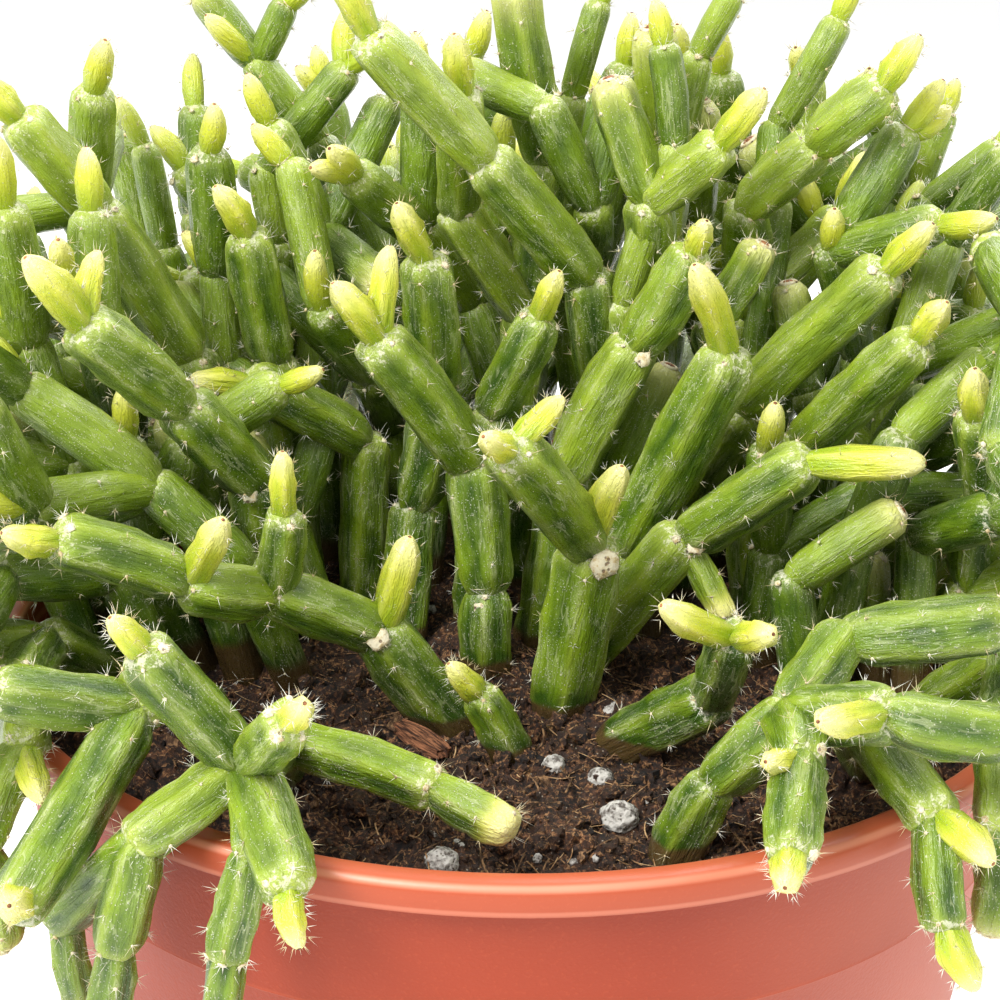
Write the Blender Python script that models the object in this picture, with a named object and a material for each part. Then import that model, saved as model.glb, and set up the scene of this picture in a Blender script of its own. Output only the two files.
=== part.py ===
"""Potted rhipsalis: a jointed, leafless cactus in a round plastic nursery pot.

The pot is a turned, tapered cup with a thick lip. The soil fills it and has a plain hole for each rooted
stem. Every stem is a chain of short ribbed segments that branches at its joints and ends in young tips,
fused into one solid. The stems that face the front are laid out by hand; the others follow a seeded growth
rule that keeps every stem clear of its neighbours, of the pot and of the soil.

Lengths are in millimetres until a mesh is made, where they become metres.
The origin is the middle of the pot's flat foot, with +Z up and -Y to the front.
"""

import math
import random
from collections import namedtuple

import bmesh
import bpy
import numpy as np
from mathutils import Matrix, Vector

MM = 0.001
GAP = 0.3

# Pot
POT_HEIGHT = 105.0
RIM_RADIUS = 60.0
RIM_INNER_RADIUS = 57.0
LIP_HEIGHT = 3.4
LIP_ROUND = 1.0
BODY_TOP_RADIUS = 57.9
FOOT_RADIUS = 41.0
FOOT_ROUND = 1.2
WALL = 1.4
FLOOR_THICKNESS = 2.0
MOULD_LINE_DROP = 17.5
MOULD_LINE_STEP = 0.25
POT_SIDES = 32
DRAIN_HOLES = 6
DRAIN_HOLE_RADIUS = 3.2
DRAIN_CIRCLE_RADIUS = 27.0
DRAIN_SIDES = 8
SHARP_ANGLE = math.radians(35)

# Soil
SOIL_TOP = 98.0
SOIL_EDGE_DROP = 1.2
SOIL_RELIEF = 0.55
SOIL_WAVES = ((1.0, 0.43, 0.37, 1.0), (0.7, -0.5, 0.81, 2.0))
SOIL_RINGS = 5
SOIL_SIDES = POT_SIDES
COLLAR_DIP = 1.0
COLLAR_WIDTH = 6.0

# Stems
FRONT_SIDES = 5
GROWN_SIDES = 4
ROOT_DEPTH = 9.0
ROOT_THICKNESS = 0.80
NECK_HEIGHT = 2.6
JOINT_SINK = 1.4
CLEARANCE = 0.4
SAMPLE_STEP = 1.9
ROOTED_SAMPLES = 4
NEAR = 24.0

Piece = namedtuple("Piece", "after end thickness tip")
Stem = namedtuple("Stem", "root pieces")


def seg(after, x, y, z, thickness=6.4):
    """A mature segment that ends at (x, y, z) and starts where piece number `after` ends."""
    return Piece(after, (x, y, z), thickness, False)


def tip(after, x, y, z, thickness=4.0):
    """A young shoot tip that ends at (x, y, z) and starts where piece number `after` ends."""
    return Piece(after, (x, y, z), thickness, True)


# The stems that the front shows, from the middle outwards. Piece 0 starts at the root.
FRONT_STEMS = {
    "stem_front_post": Stem((5, -9), [
        seg(None, 8, -11, 119, 7.8), seg(0, -1, -24, 134, 6.6), tip(0, 11, -15, 129, 4.4),
        tip(1, -3, -30, 137, 3.8), tip(1, 5, -20, 138, 3.8)]),
    "stem_dark_upright": Stem((-4, 0), [
        seg(None, -4, 1, 108, 6.2), seg(0, -6, 3, 123, 6.8), seg(1, -16, -4, 139, 6.8),
        tip(2, -20, -7, 146, 4.6), tip(2, -14, -2, 149, 3.8)]),
    "stem_young_front": Stem((-1, -21), [
        seg(None, -4, -22, 106, 4.8), tip(0, -7, -24, 110, 3.8)]),
    "stem_front_right": Stem((7, 0), [
        seg(None, 19, -4, 117, 6.6), seg(0, 31, -10, 128, 6.4), tip(1, 43, -14, 129, 4.8),
        seg(0, 23, -8, 108, 3.4)]),
    "stem_long_right": Stem((11, 9), [
        seg(None, 12, 5, 112, 6.6), seg(0, 23, 0, 137, 7.4), tip(1, 18, -5, 148, 4.6)]),
    "stem_middle": Stem((2, 9), [
        seg(None, 5, 10, 119, 6.4), seg(0, 13, 9, 135, 6.8), seg(1, 19, 8, 146, 6.4),
        tip(2, 20, 5, 150, 3.8)]),
    "stem_short_middle": Stem((-6, 12), [
        seg(None, -5, 11, 112, 5.8), seg(0, -4, 11, 126, 5.8), seg(1, 2, 9, 138, 5.8),
        tip(2, 4, 6, 144, 3.8)]),
    "stem_left_middle": Stem((-14, 9), [
        seg(None, -13, 12, 114, 6.0), seg(0, -10, 12, 129, 6.2), seg(1, -11, 8, 145, 6.4),
        tip(2, -14, 4, 152, 4.2)]),
    "stem_left_level": Stem((-20, 16), [
        seg(None, -19, 16, 121, 6.0), seg(0, -32, 8, 130, 6.0), tip(1, -38, 5, 131, 4.2)]),
    "stem_high_left": Stem((8, 22), [
        seg(None, 8, 22, 112, 6.4), seg(0, 9, 20, 126, 6.4), seg(1, 7, 17, 141, 6.4),
        seg(2, -5, 9, 156, 6.6), seg(3, -17, 4, 170, 6.2), tip(4, -20, 1, 177, 4.2)]),
    "stem_right_reach": Stem((19, 25), [
        seg(None, 19, 20, 113, 6.6), seg(0, 25, 11, 127, 6.6), seg(1, 40, 4, 145, 6.4),
        tip(2, 44, 1, 151, 4.2), seg(1, 21, 15, 136, 5.4), seg(4, 27, 14, 145, 4.8)]),
    "stem_right_lower": Stem((28, 19), [
        seg(None, 27, 15, 113, 6.0), seg(0, 32, 6, 124, 6.2), seg(1, 43, -2, 139, 6.2),
        tip(2, 45, -5, 144, 4.4)]),
    "stem_right_short": Stem((36, 10), [
        seg(None, 35, 10, 112, 6.2), seg(0, 49, 8, 112, 5.4), seg(1, 56, 14, 122, 5.6),
        tip(2, 59, 14, 128, 4.0)]),
    "stem_right_side": Stem((46, 4), [
        seg(None, 51, -4, 111, 6.4), seg(0, 51, -4, 122, 6.2), seg(1, 48, -9, 133, 6.0),
        tip(2, 47, -12, 139, 4.2), seg(0, 61, -14, 117, 6.2), tip(4, 68, -18, 119, 4.2)]),
    "stem_front_left": Stem((-8, -14), [
        seg(None, -15, -17, 111, 7.2), seg(0, -26, -22, 117, 6.2), seg(1, -34, -27, 120, 6.2),
        seg(2, -45, -33, 127, 6.0), tip(3, -49, -37, 129, 4.2), tip(0, -11, -18, 122, 4.8),
        seg(1, -23, -25, 127, 4.8), tip(6, -23, -26, 134, 3.4), tip(2, -28, -32, 129, 4.4)]),
    "stem_left_rise": Stem((-29, 4), [
        seg(None, -29, 0, 112, 6.6), seg(0, -29, -4, 123, 6.8), seg(1, -36, -12, 134, 6.8),
        seg(2, -44, -20, 145, 6.6), tip(3, -48, -24, 153, 5.0), tip(3, -42, -17, 152, 3.6)]),
    "stem_left_tall": Stem((-38, 16), [
        seg(None, -38, 15, 115, 6.6), seg(0, -39, 13, 132, 6.8), seg(1, -48, 8, 150, 6.8),
        seg(2, -55, 4, 161, 6.2), tip(3, -58, 2, 166, 4.4)]),
    "stem_left_inner": Stem((-28, 21), [
        seg(None, -29, 21, 114, 6.2), seg(0, -30, 18, 130, 6.4), seg(1, -32, 14, 146, 6.2),
        tip(2, -35, 11, 152, 4.4)]),
    "stem_spill_left": Stem((-24, -26), [
        seg(None, -23, -36, 107, 6.0), seg(0, -24, -51, 112, 6.2), seg(1, -32, -56, 126, 5.8),
        tip(2, -34, -58, 130, 3.6), seg(1, -18, -61, 122, 5.0), tip(4, -16, -66, 126, 3.4),
        seg(1, -34, -56, 106, 5.4), seg(6, -36, -57, 95, 5.2), seg(7, -38, -57, 86, 4.4),
        seg(1, -18, -65, 107, 6.0), tip(9, -17, -68, 103, 3.6), seg(0, -6, -46, 107, 5.2),
        seg(11, 1, -50, 105, 4.6), seg(6, -43, -50, 94, 5.0), seg(13, -41, -50, 84, 3.6),
        seg(1, -22, -60, 107, 4.4), seg(15, -25, -61, 97, 4.4), seg(16, -26, -62, 88, 3.8)]),
    "stem_arm_left": Stem((-35, -14), [
        seg(None, -36, -28, 110, 6.4), seg(0, -36, -43, 113, 6.4), seg(1, -44, -62, 102, 6.2),
        tip(2, -42, -68, 107, 4.4), seg(1, -48, -49, 118, 5.8), seg(4, -62, -52, 122, 6.0),
        tip(5, -69, -54, 124, 4.2)]),
    "stem_trail_left": Stem((-46, -6), [
        seg(None, -51, -18, 109, 6.2), seg(0, -62, -29, 113, 6.0), seg(1, -72, -37, 114, 5.8),
        tip(2, -77, -41, 117, 4.2), seg(0, -50, -31, 110, 5.6), seg(4, -47, -42, 108, 5.2),
        tip(5, -44, -47, 105, 4.0), seg(5, -51, -48, 100, 5.2), seg(7, -49, -49, 90, 5.0)]),
    "stem_spill_right": Stem((17, -41), [
        seg(None, 20, -42, 107, 5.8), seg(0, 27, -43, 115, 6.0), seg(1, 33, -34, 119, 5.6),
        seg(2, 48, -36, 121, 6.4), tip(3, 55, -38, 123, 4.2), seg(1, 35, -52, 119, 6.0),
        tip(5, 27, -60, 122, 3.8), seg(5, 46, -52, 117, 5.8), tip(7, 52, -54, 114, 4.2),
        seg(1, 27, -53, 114, 5.6), seg(9, 25, -65, 111, 5.4), tip(10, 24, -71, 112, 4.0),
        tip(9, 23, -58, 117, 3.2)]),
    "stem_shadow_right": Stem((13, -19), [
        seg(None, 21, -27, 108, 6.4), seg(0, 22, -35, 119, 5.2), tip(1, 14, -40, 124, 4.0),
        tip(1, 25, -42, 122, 3.8)]),
    "stem_drape_right": Stem((37, -24), [
        seg(None, 34, -37, 111, 6.0), seg(0, 40, -52, 108, 5.6), seg(1, 40, -58, 100, 4.8),
        tip(2, 43, -60, 95, 4.4), tip(1, 44, -58, 107, 4.4)]),
    "stem_trail_right": Stem((45, -12), [
        seg(None, 52, -22, 111, 6.2), seg(0, 57, -36, 113, 6.0), seg(0, 47, -38, 110, 5.6),
        seg(2, 46, -49, 105, 5.4), seg(3, 46, -50, 95, 5.2), seg(1, 69, -41, 115, 5.8),
        tip(5, 76, -44, 118, 4.2)]),
    "stem_crown_middle": Stem((13, 33), [
        seg(None, 14, 30, 117, 6.4), seg(0, 15, 25, 134, 6.4), seg(1, 14, 16, 150, 6.2),
        seg(2, 22, 11, 157, 5.6), tip(3, 26, 8, 164, 4.4), seg(2, 9, 17, 163, 5.6),
        seg(1, 17, 31, 150, 6.0), seg(6, 14, 28, 167, 6.0)]),
    "stem_crown_right": Stem((24, 34), [
        seg(None, 25, 31, 117, 6.4), seg(0, 26, 27, 134, 6.2), seg(1, 25, 21, 148, 6.0),
        seg(2, 33, 17, 156, 6.0), seg(3, 40, 14, 163, 6.0), tip(4, 43, 13, 169, 4.2),
        seg(1, 38, 28, 145, 6.0), tip(6, 40, 28, 153, 4.2)]),
    "stem_back_spire": Stem((-2, 25), [
        seg(None, -2, 26, 116, 6.4), seg(0, 0, 28, 133, 6.4), seg(1, 2, 27, 152, 6.2),
        seg(2, -2, 25, 173, 6.0), seg(1, -9, 22, 147, 6.0), seg(4, -7, 15, 162, 5.4),
        tip(5, -8, 12, 169, 4.2)]),
}

# Grown stems
GROWTH_SEED = 42
GROWN_STEMS = 24
ROOT_TRIES = 80
ROOT_ANGLES = (math.radians(-22), math.radians(202))
ROOT_RADII = (16.0, 51.0)
ROOT_REACH = 51.0
ROOT_SPACING = 6.9
GROWTH_ROUNDS = 6
MAX_GROWN_PIECES = 238
MOST_PIECES_A_STEM = 20
DIRECTION_TRIES = 70
DIRECTION_CHOICES = 3
BRANCH_COUNTS = (2, 2, 3)
SEGMENT_LENGTHS = (12.5, 18.5)
SEGMENT_THICKNESS = (5.0, 6.2)
TIP_LENGTHS = (5.5, 8.5)
TIP_THICKNESS = (3.4, 4.2)
TIP_CHANCE = 0.72

# How a grown piece's course is drawn: wander, lift and outward pull against the heading before it
FIRST_WANDER = 0.22
WANDER = 0.55
TIP_WANDER = 0.28
EARLY_ROUNDS = 2
EARLY_LIFT = 0.5
LATE_LIFT = (-0.35, 0.45)
OVER_RIM_LIFT = (-1.1, -0.1)
OUTWARD_PULL = 0.2
OUTWARD_GAIN = 0.09
LEAST_ONWARD = 0.1
SIBLING_SPREAD = 0.62

# Where grown pieces may end: a dome over the pot or just outside the rim, never over the open front soil
DOME_RADIUS = 84.0
DOME_HEIGHT = 72.0
HANG_RADIUS = 66.0
HANG_DEPTH = 30.0
OPEN_FRONT_DEPTH = 14.0
OPEN_SOIL_HALF_WIDTH = 25.0
SIDE_FRONT_DEPTH = -12.0
SIDE_HALF_WIDTH = 46.0
SIDE_HEIGHT = 134.0

# Loose things on the soil: middle x, y and radius of each perlite grain
PERLITE = {
    "perlite_grain_large": (11.0, -34.6, 1.9),
    "perlite_grain_by_post": (10.6, -11.0, 1.3),
    "perlite_grain_chip": (4.2, -23.6, 1.2),
    "perlite_grain_middle": (9.0, -26.6, 1.4),
    "perlite_grain_rim": (-6.3, -44.0, 1.6),
}
GRAIN_STRETCH = (1.0, 0.9, 0.85)
GRAIN_RISE = 0.3
GRAIN_FINE_RADIUS = 1.7
GRAIN_BUMP = 0.08
GRAIN_WAVES = (5.0, 3.0, 4.0)
BARK_CENTRE = (-10.1, -20.3)
BARK_SIZE = (8.4, 2.5, 1.4)
BARK_TAPER = 0.35
BARK_TURN = math.radians(-50)
BARK_RISE = 0.1

# Ring places along a piece, as part of its length and part of its radius, for segments and for tips
FRONT_RINGS = {False: ((0.15, 0.96), (0.85, 1.0)), True: ((0.28, 1.0), (0.72, 0.78))}
GROWN_RINGS = {False: ((0.2, 1.0),), True: ((0.4, 1.0),)}
END_RING = (0.95, 0.70)
JOINT_RING = 0.82

COLOURS = {
    "pot": ((0.62, 0.13, 0.06, 1), 0.42),
    "soil": ((0.035, 0.022, 0.016, 1), 0.95),
    "stem": ((0.16, 0.32, 0.05, 1), 0.5),
    "perlite": ((0.72, 0.70, 0.66, 1), 0.9),
    "bark": ((0.20, 0.10, 0.05, 1), 0.9),
}


def clear_scene():
    """Remove the objects that the file opens with."""
    for thing in list(bpy.data.objects):
        bpy.data.objects.remove(thing, do_unlink=True)


def material(name):
    """The plain material of one kind of surface."""
    made = bpy.data.materials.get(name)
    if made is None:
        colour, roughness = COLOURS[name]
        made = bpy.data.materials.new(name)
        made.use_nodes = True
        shader = made.node_tree.nodes["Principled BSDF"]
        shader.inputs["Base Color"].default_value = colour
        shader.inputs["Roughness"].default_value = roughness
        shader.inputs["Metallic"].default_value = 0.0
    return made


def new_object(name, shape, kind, collection=None):
    """Put a bmesh, given in millimetres, into the scene as an object in metres."""
    bmesh.ops.scale(shape, vec=(MM, MM, MM), verts=shape.verts)
    bmesh.ops.recalc_face_normals(shape, faces=shape.faces)
    mesh = bpy.data.meshes.new(name)
    shape.to_mesh(mesh)
    shape.free()
    mesh.materials.append(material(kind))
    made = bpy.data.objects.new(name, mesh)
    (collection or bpy.context.scene.collection).objects.link(made)
    return made


def join_rings(shape, rings, sides):
    """Lay faces between each ring of vertices and the next; a ring may be a single vertex."""
    for low, high in zip(rings, rings[1:]):
        for side in range(sides):
            after = (side + 1) % sides
            below = [low[side % len(low)], low[after % len(low)]]
            above = [high[after % len(high)], high[side % len(high)]]
            shape.faces.new(list(dict.fromkeys(below + above)))


def turned(profile, sides):
    """A closed solid of revolution round Z from (radius, height) points that start and end on the axis."""
    shape = bmesh.new()
    rings = []
    for radius, height in profile:
        if radius == 0:
            rings.append([shape.verts.new((0, 0, height))])
            continue
        ring = []
        for side in range(sides):
            angle = math.tau * side / sides
            ring.append(shape.verts.new((radius * math.cos(angle), radius * math.sin(angle), height)))
        rings.append(ring)
    join_rings(shape, rings, sides)
    return shape


def prism(x, y, low, high, radius, sides, turn=0.0):
    """An upright prism with its axis at (x, y)."""
    shape = bmesh.new()
    rings = []
    for height in (low, high):
        ring = []
        for side in range(sides):
            angle = turn + math.tau * side / sides
            spoke = Vector((radius * math.cos(angle), radius * math.sin(angle), height))
            ring.append(shape.verts.new(Vector((x, y, 0)) + spoke))
        rings.append(ring)
    for side in range(sides):
        after = (side + 1) % sides
        shape.faces.new((rings[0][side], rings[0][after], rings[1][after], rings[1][side]))
    shape.faces.new(rings[0])
    shape.faces.new(rings[1])
    return shape


def tube(stations, sides, first_pole, last_pole):
    """A closed tube with few sides through stations of (centre, heading, radius), with a point at each end.

    Each ring is turned as little as possible from the one before, so that the ribs run on through joints.
    """
    shape = bmesh.new()
    rings = [[shape.verts.new(first_pole)]]
    heading = Vector(stations[0][1])
    across = heading.cross(Vector((1, 0, 0)) if abs(heading.z) > 0.8 else Vector((0, 0, 1))).normalized()
    for centre, heading, radius in stations:
        heading = Vector(heading)
        across = (across - heading * across.dot(heading)).normalized()
        other = heading.cross(across)
        ring = []
        for side in range(sides):
            angle = math.tau * side / sides
            spoke = across * math.cos(angle) + other * math.sin(angle)
            ring.append(shape.verts.new(Vector(centre) + spoke * radius))
        rings.append(ring)
    rings.append([shape.verts.new(last_pole)])
    join_rings(shape, rings, sides)
    return shape


def combine(base, shapes, kind, operation, solver):
    """Join shapes to a base object, or cut them from it, by one Boolean on their collection."""
    group = bpy.data.collections.new(base.name + "_group")
    bpy.context.scene.collection.children.link(group)
    for number, shape in enumerate(shapes):
        helper = new_object(f"{base.name}_helper_{number}", shape, kind, group)
        helper.hide_render = True
        helper.display_type = "WIRE"
    step = base.modifiers.new("combine", "BOOLEAN")
    step.operation = operation
    step.operand_type = "COLLECTION"
    step.collection = group
    step.solver = solver
    bpy.context.view_layer.objects.active = base
    bpy.ops.object.modifier_apply(modifier=step.name)
    for helper in list(group.objects):
        bpy.data.objects.remove(helper, do_unlink=True)
    bpy.data.collections.remove(group)


def body_radius(height):
    """The pot's outer radius at a height below its lip."""
    return FOOT_RADIUS + (BODY_TOP_RADIUS - FOOT_RADIUS) * height / (POT_HEIGHT - LIP_HEIGHT)


def make_pot():
    """The tapered cup with its lip, its faint mould line and the drain holes in its floor."""
    lip_low = POT_HEIGHT - LIP_HEIGHT
    line = POT_HEIGHT - MOULD_LINE_DROP
    inner_low = body_radius(FLOOR_THICKNESS) - WALL
    profile = [
        (0, FLOOR_THICKNESS),
        (inner_low, FLOOR_THICKNESS),
        (body_radius(lip_low) - WALL, lip_low),
        (RIM_INNER_RADIUS, lip_low + LIP_ROUND),
        (RIM_INNER_RADIUS, POT_HEIGHT - LIP_ROUND / 2),
        (RIM_INNER_RADIUS + LIP_ROUND / 2, POT_HEIGHT),
        (RIM_RADIUS - LIP_ROUND, POT_HEIGHT),
        (RIM_RADIUS, POT_HEIGHT - LIP_ROUND),
        (RIM_RADIUS, lip_low + LIP_ROUND / 2),
        (RIM_RADIUS - LIP_ROUND / 2, lip_low),
        (body_radius(lip_low), lip_low),
        (body_radius(line) + MOULD_LINE_STEP, line),
        (body_radius(line), line - MOULD_LINE_STEP),
        (body_radius(FOOT_ROUND), FOOT_ROUND),
        (FOOT_RADIUS - FOOT_ROUND, 0),
        (0, 0),
    ]
    pot = new_object("pot", turned(profile, POT_SIDES), "pot")
    holes = []
    for number in range(DRAIN_HOLES):
        angle = math.tau * number / DRAIN_HOLES
        x = DRAIN_CIRCLE_RADIUS * math.cos(angle)
        y = DRAIN_CIRCLE_RADIUS * math.sin(angle)
        holes.append(prism(x, y, -1, FLOOR_THICKNESS + 1, DRAIN_HOLE_RADIUS, DRAIN_SIDES))
    combine(pot, holes, "pot", "DIFFERENCE", "EXACT")
    pot.data.shade_smooth()
    pot.data.set_sharp_from_angle(angle=SHARP_ANGLE)


def inner_radius(height):
    """The pot's inner radius at a height, for what fills it."""
    return min(body_radius(height) - WALL, RIM_INNER_RADIUS)


def soil_height(x, y, roots):
    """The height of the soil: soft lumps, a fall to the rim and a dip round each root."""
    rho = math.hypot(x, y)
    lumps = 0.0
    for strength, along, across, start in SOIL_WAVES:
        lumps += strength * math.sin(along * x + across * y + start)
    fall = SOIL_EDGE_DROP * (rho / RIM_INNER_RADIUS) ** 4
    nearest = min((math.dist((x, y), root) for root in roots), default=math.inf)
    dip = math.exp(-(nearest / COLLAR_WIDTH) ** 2)
    return SOIL_TOP + SOIL_RELIEF * lumps * (1 - dip) - fall - COLLAR_DIP * dip


def stem_sides(name):
    """The number of ribs that a stem is modelled with."""
    return FRONT_SIDES if name in FRONT_STEMS else GROWN_SIDES


def root_radius(stem):
    """The radius of a stem where it enters the soil."""
    return ROOT_THICKNESS * stem.pieces[0].thickness / 2


def make_soil(stems):
    """The soil that fills the pot, with a hole for each stem and a pocket for each loose thing on it."""
    roots = [stem.root for stem in stems.values()]
    bottom = FLOOR_THICKNESS + GAP
    edge_radius = inner_radius(SOIL_TOP - SOIL_EDGE_DROP - 2 * SOIL_RELIEF) - GAP
    shape = bmesh.new()
    middle = shape.verts.new((0, 0, soil_height(0, 0, roots)))
    rings = [[middle]]
    for number in range(1, SOIL_RINGS + 1):
        radius = edge_radius * number / SOIL_RINGS
        ring = []
        for side in range(SOIL_SIDES):
            angle = math.tau * side / SOIL_SIDES
            x = radius * math.cos(angle)
            y = radius * math.sin(angle)
            ring.append(shape.verts.new((x, y, soil_height(x, y, roots))))
        rings.append(ring)
    foot = []
    for side in range(SOIL_SIDES):
        angle = math.tau * side / SOIL_SIDES
        radius = inner_radius(bottom) - GAP
        foot.append(shape.verts.new((radius * math.cos(angle), radius * math.sin(angle), bottom)))
    rings.append(foot)
    rings.append([shape.verts.new((0, 0, bottom))])
    join_rings(shape, rings, SOIL_SIDES)
    bmesh.ops.triangulate(shape, faces=shape.faces)
    soil = new_object("soil", shape, "soil")
    cutters = []
    for name, stem in stems.items():
        sides = stem_sides(name)
        radius = root_radius(stem) + GAP / math.cos(math.pi / sides)
        low = SOIL_TOP - ROOT_DEPTH - 2 * GAP
        cutters.append(prism(*stem.root, low, SOIL_TOP + NECK_HEIGHT, radius, sides, math.pi / 2))
    for x, y, radius in PERLITE.values():
        cutters.append(grain(x, y, radius, GAP))
    cutters.append(bark_chip(GAP))
    combine(soil, cutters, "soil", "DIFFERENCE", "EXACT")


def grain(x, y, radius, grown=0.0):
    """A perlite grain half sunk in the soil, or its pocket when grown by a gap."""
    shape = bmesh.new()
    bmesh.ops.create_icosphere(shape, subdivisions=2 if radius > GRAIN_FINE_RADIUS else 1, radius=1)
    for vert in shape.verts:
        x_rate, y_rate, z_rate = GRAIN_WAVES
        wave = math.sin(x_rate * vert.co.x + y_rate * vert.co.y) * math.cos(z_rate * vert.co.z)
        bump = 1 + GRAIN_BUMP * wave
        for axis in range(3):
            vert.co[axis] *= radius * GRAIN_STRETCH[axis] * bump + grown
    bmesh.ops.translate(shape, verts=shape.verts, vec=(x, y, SOIL_TOP + GRAIN_RISE * radius))
    return shape


def bark_chip(grown=0.0):
    """A splinter of bark that lies in the soil, or its pocket when grown by a gap."""
    shape = bmesh.new()
    bmesh.ops.create_cube(shape, size=1)
    bmesh.ops.subdivide_edges(shape, edges=shape.edges, cuts=1, use_grid_fill=True)
    for vert in shape.verts:
        taper = 1 - BARK_TAPER * (2 * vert.co.x) ** 2
        vert.co.x *= BARK_SIZE[0] + 2 * grown
        vert.co.y *= (BARK_SIZE[1] * taper) + 2 * grown
        vert.co.z *= (BARK_SIZE[2] * taper) + 2 * grown
    turn = Matrix.Rotation(BARK_TURN, 4, "Z")
    place = Matrix.Translation((*BARK_CENTRE, SOIL_TOP + BARK_RISE))
    bmesh.ops.transform(shape, matrix=place @ turn, verts=shape.verts)
    return shape


class Thicket:
    """Every stem's pieces as rows of points with radii, for asking whether a new piece has room."""

    def __init__(self):
        self.points = np.empty((0, 3))
        self.radii = np.empty(0)
        self.starts = np.empty(0, dtype=int)
        self.ends = np.empty(0, dtype=int)
        self.joints = 0

    def new_joint(self):
        self.joints += 1
        return self.joints

    def add(self, start, end, radius, start_joint, end_joint):
        """Take up the room of one piece."""
        line = self.line(start, end)
        self.points = np.vstack([self.points, line])
        self.radii = np.append(self.radii, np.full(len(line), radius))
        self.starts = np.append(self.starts, np.full(len(line), start_joint))
        self.ends = np.append(self.ends, np.full(len(line), end_joint))

    @staticmethod
    def line(start, end):
        """Points along a piece, SAMPLE_STEP or less apart."""
        count = int(np.linalg.norm(end - start) / SAMPLE_STEP) + 2
        return start + np.linspace(0, 1, count)[:, None] * (end - start)

    def room(self, start, end, radius, start_joint, rooted=False):
        """The room from a piece to all but its parent and the others at its joint, or 0 if too little."""
        line = self.line(start, end)
        others = (self.starts != start_joint) & (self.ends != start_joint)
        near = others & (np.abs(self.points - (start + end) / 2).max(axis=1) < NEAR)
        if clear_of_pot(line[ROOTED_SAMPLES if rooted else 0:], radius) < 0:
            return 0.0
        if not near.any():
            return NEAR
        gaps = np.linalg.norm(self.points[near][:, None] - line[None], axis=2) - self.radii[near][:, None]
        return max(0.0, float(gaps.min()) - radius - CLEARANCE)


def clear_of_pot(line, radius):
    """The least room between points of a piece and the pot or the soil; negative where they cross."""
    rho = np.hypot(line[:, 0], line[:, 1])
    height = line[:, 2]
    inside = np.maximum(RIM_INNER_RADIUS - rho, 0)
    outside = np.maximum(rho - RIM_RADIUS, 0)
    rim = np.hypot(np.maximum(inside, outside), np.maximum(height - POT_HEIGHT, 0))
    soil = np.where(rho < RIM_INNER_RADIUS, height - SOIL_TOP - SOIL_RELIEF, RIM_RADIUS)
    return float(np.minimum(rim, soil).min()) - radius - GAP


def unit(vector):
    return vector / np.linalg.norm(vector)


def root_joint(root):
    """The top of the short upright neck on which a stem's first piece sits."""
    return np.array([root[0], root[1], SOIL_TOP + NECK_HEIGHT])


def piece_line(stem, number):
    """The start and end of a piece; a piece starts a little way inside the one that it grows from."""
    piece = stem.pieces[number]
    end = np.array(piece.end, dtype=float)
    if piece.after is None:
        return root_joint(stem.root) - np.array([0, 0, JOINT_SINK]), end
    parent_start, joint = piece_line(stem, piece.after)
    return joint - unit(joint - parent_start) * JOINT_SINK, end


def behind_front(x, y):
    """Whether a place lies behind the stems laid out by hand and off the open soil."""
    if abs(x) < OPEN_SOIL_HALF_WIDTH:
        return y > OPEN_FRONT_DEPTH
    return y > SIDE_FRONT_DEPTH or abs(x) > SIDE_HALF_WIDTH


def in_reach(point):
    """Whether a grown piece may end here: in the dome or just outside the rim, and off the open front."""
    x, y, z = point
    rho = math.hypot(x, y)
    if not behind_front(x, y) or rho > DOME_RADIUS:
        return False
    if y < OPEN_FRONT_DEPTH and abs(x) < SIDE_HALF_WIDTH and z > SIDE_HEIGHT:
        return False
    if z < POT_HEIGHT:
        return (rho < ROOT_REACH and z > SOIL_TOP) or (rho > HANG_RADIUS and z > POT_HEIGHT - HANG_DEPTH)
    return (rho / DOME_RADIUS) ** 2 + ((z - POT_HEIGHT) / DOME_HEIGHT) ** 2 < 1


def scatter_roots(draw, taken):
    """Places on the soil for the grown stems: one in each of many slices round the back and the sides."""
    places = []
    first, last = ROOT_ANGLES
    for number in range(GROWN_STEMS):
        for _ in range(ROOT_TRIES):
            angle = first + (last - first) * (number + draw.random()) / GROWN_STEMS
            radius = draw.uniform(*ROOT_RADII)
            x = radius * math.cos(angle)
            y = radius * math.sin(angle)
            clear = all(math.dist((x, y), other) > ROOT_SPACING for other in taken + places)
            if clear and behind_front(x, y):
                places.append((x, y))
                break
    return places


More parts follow.
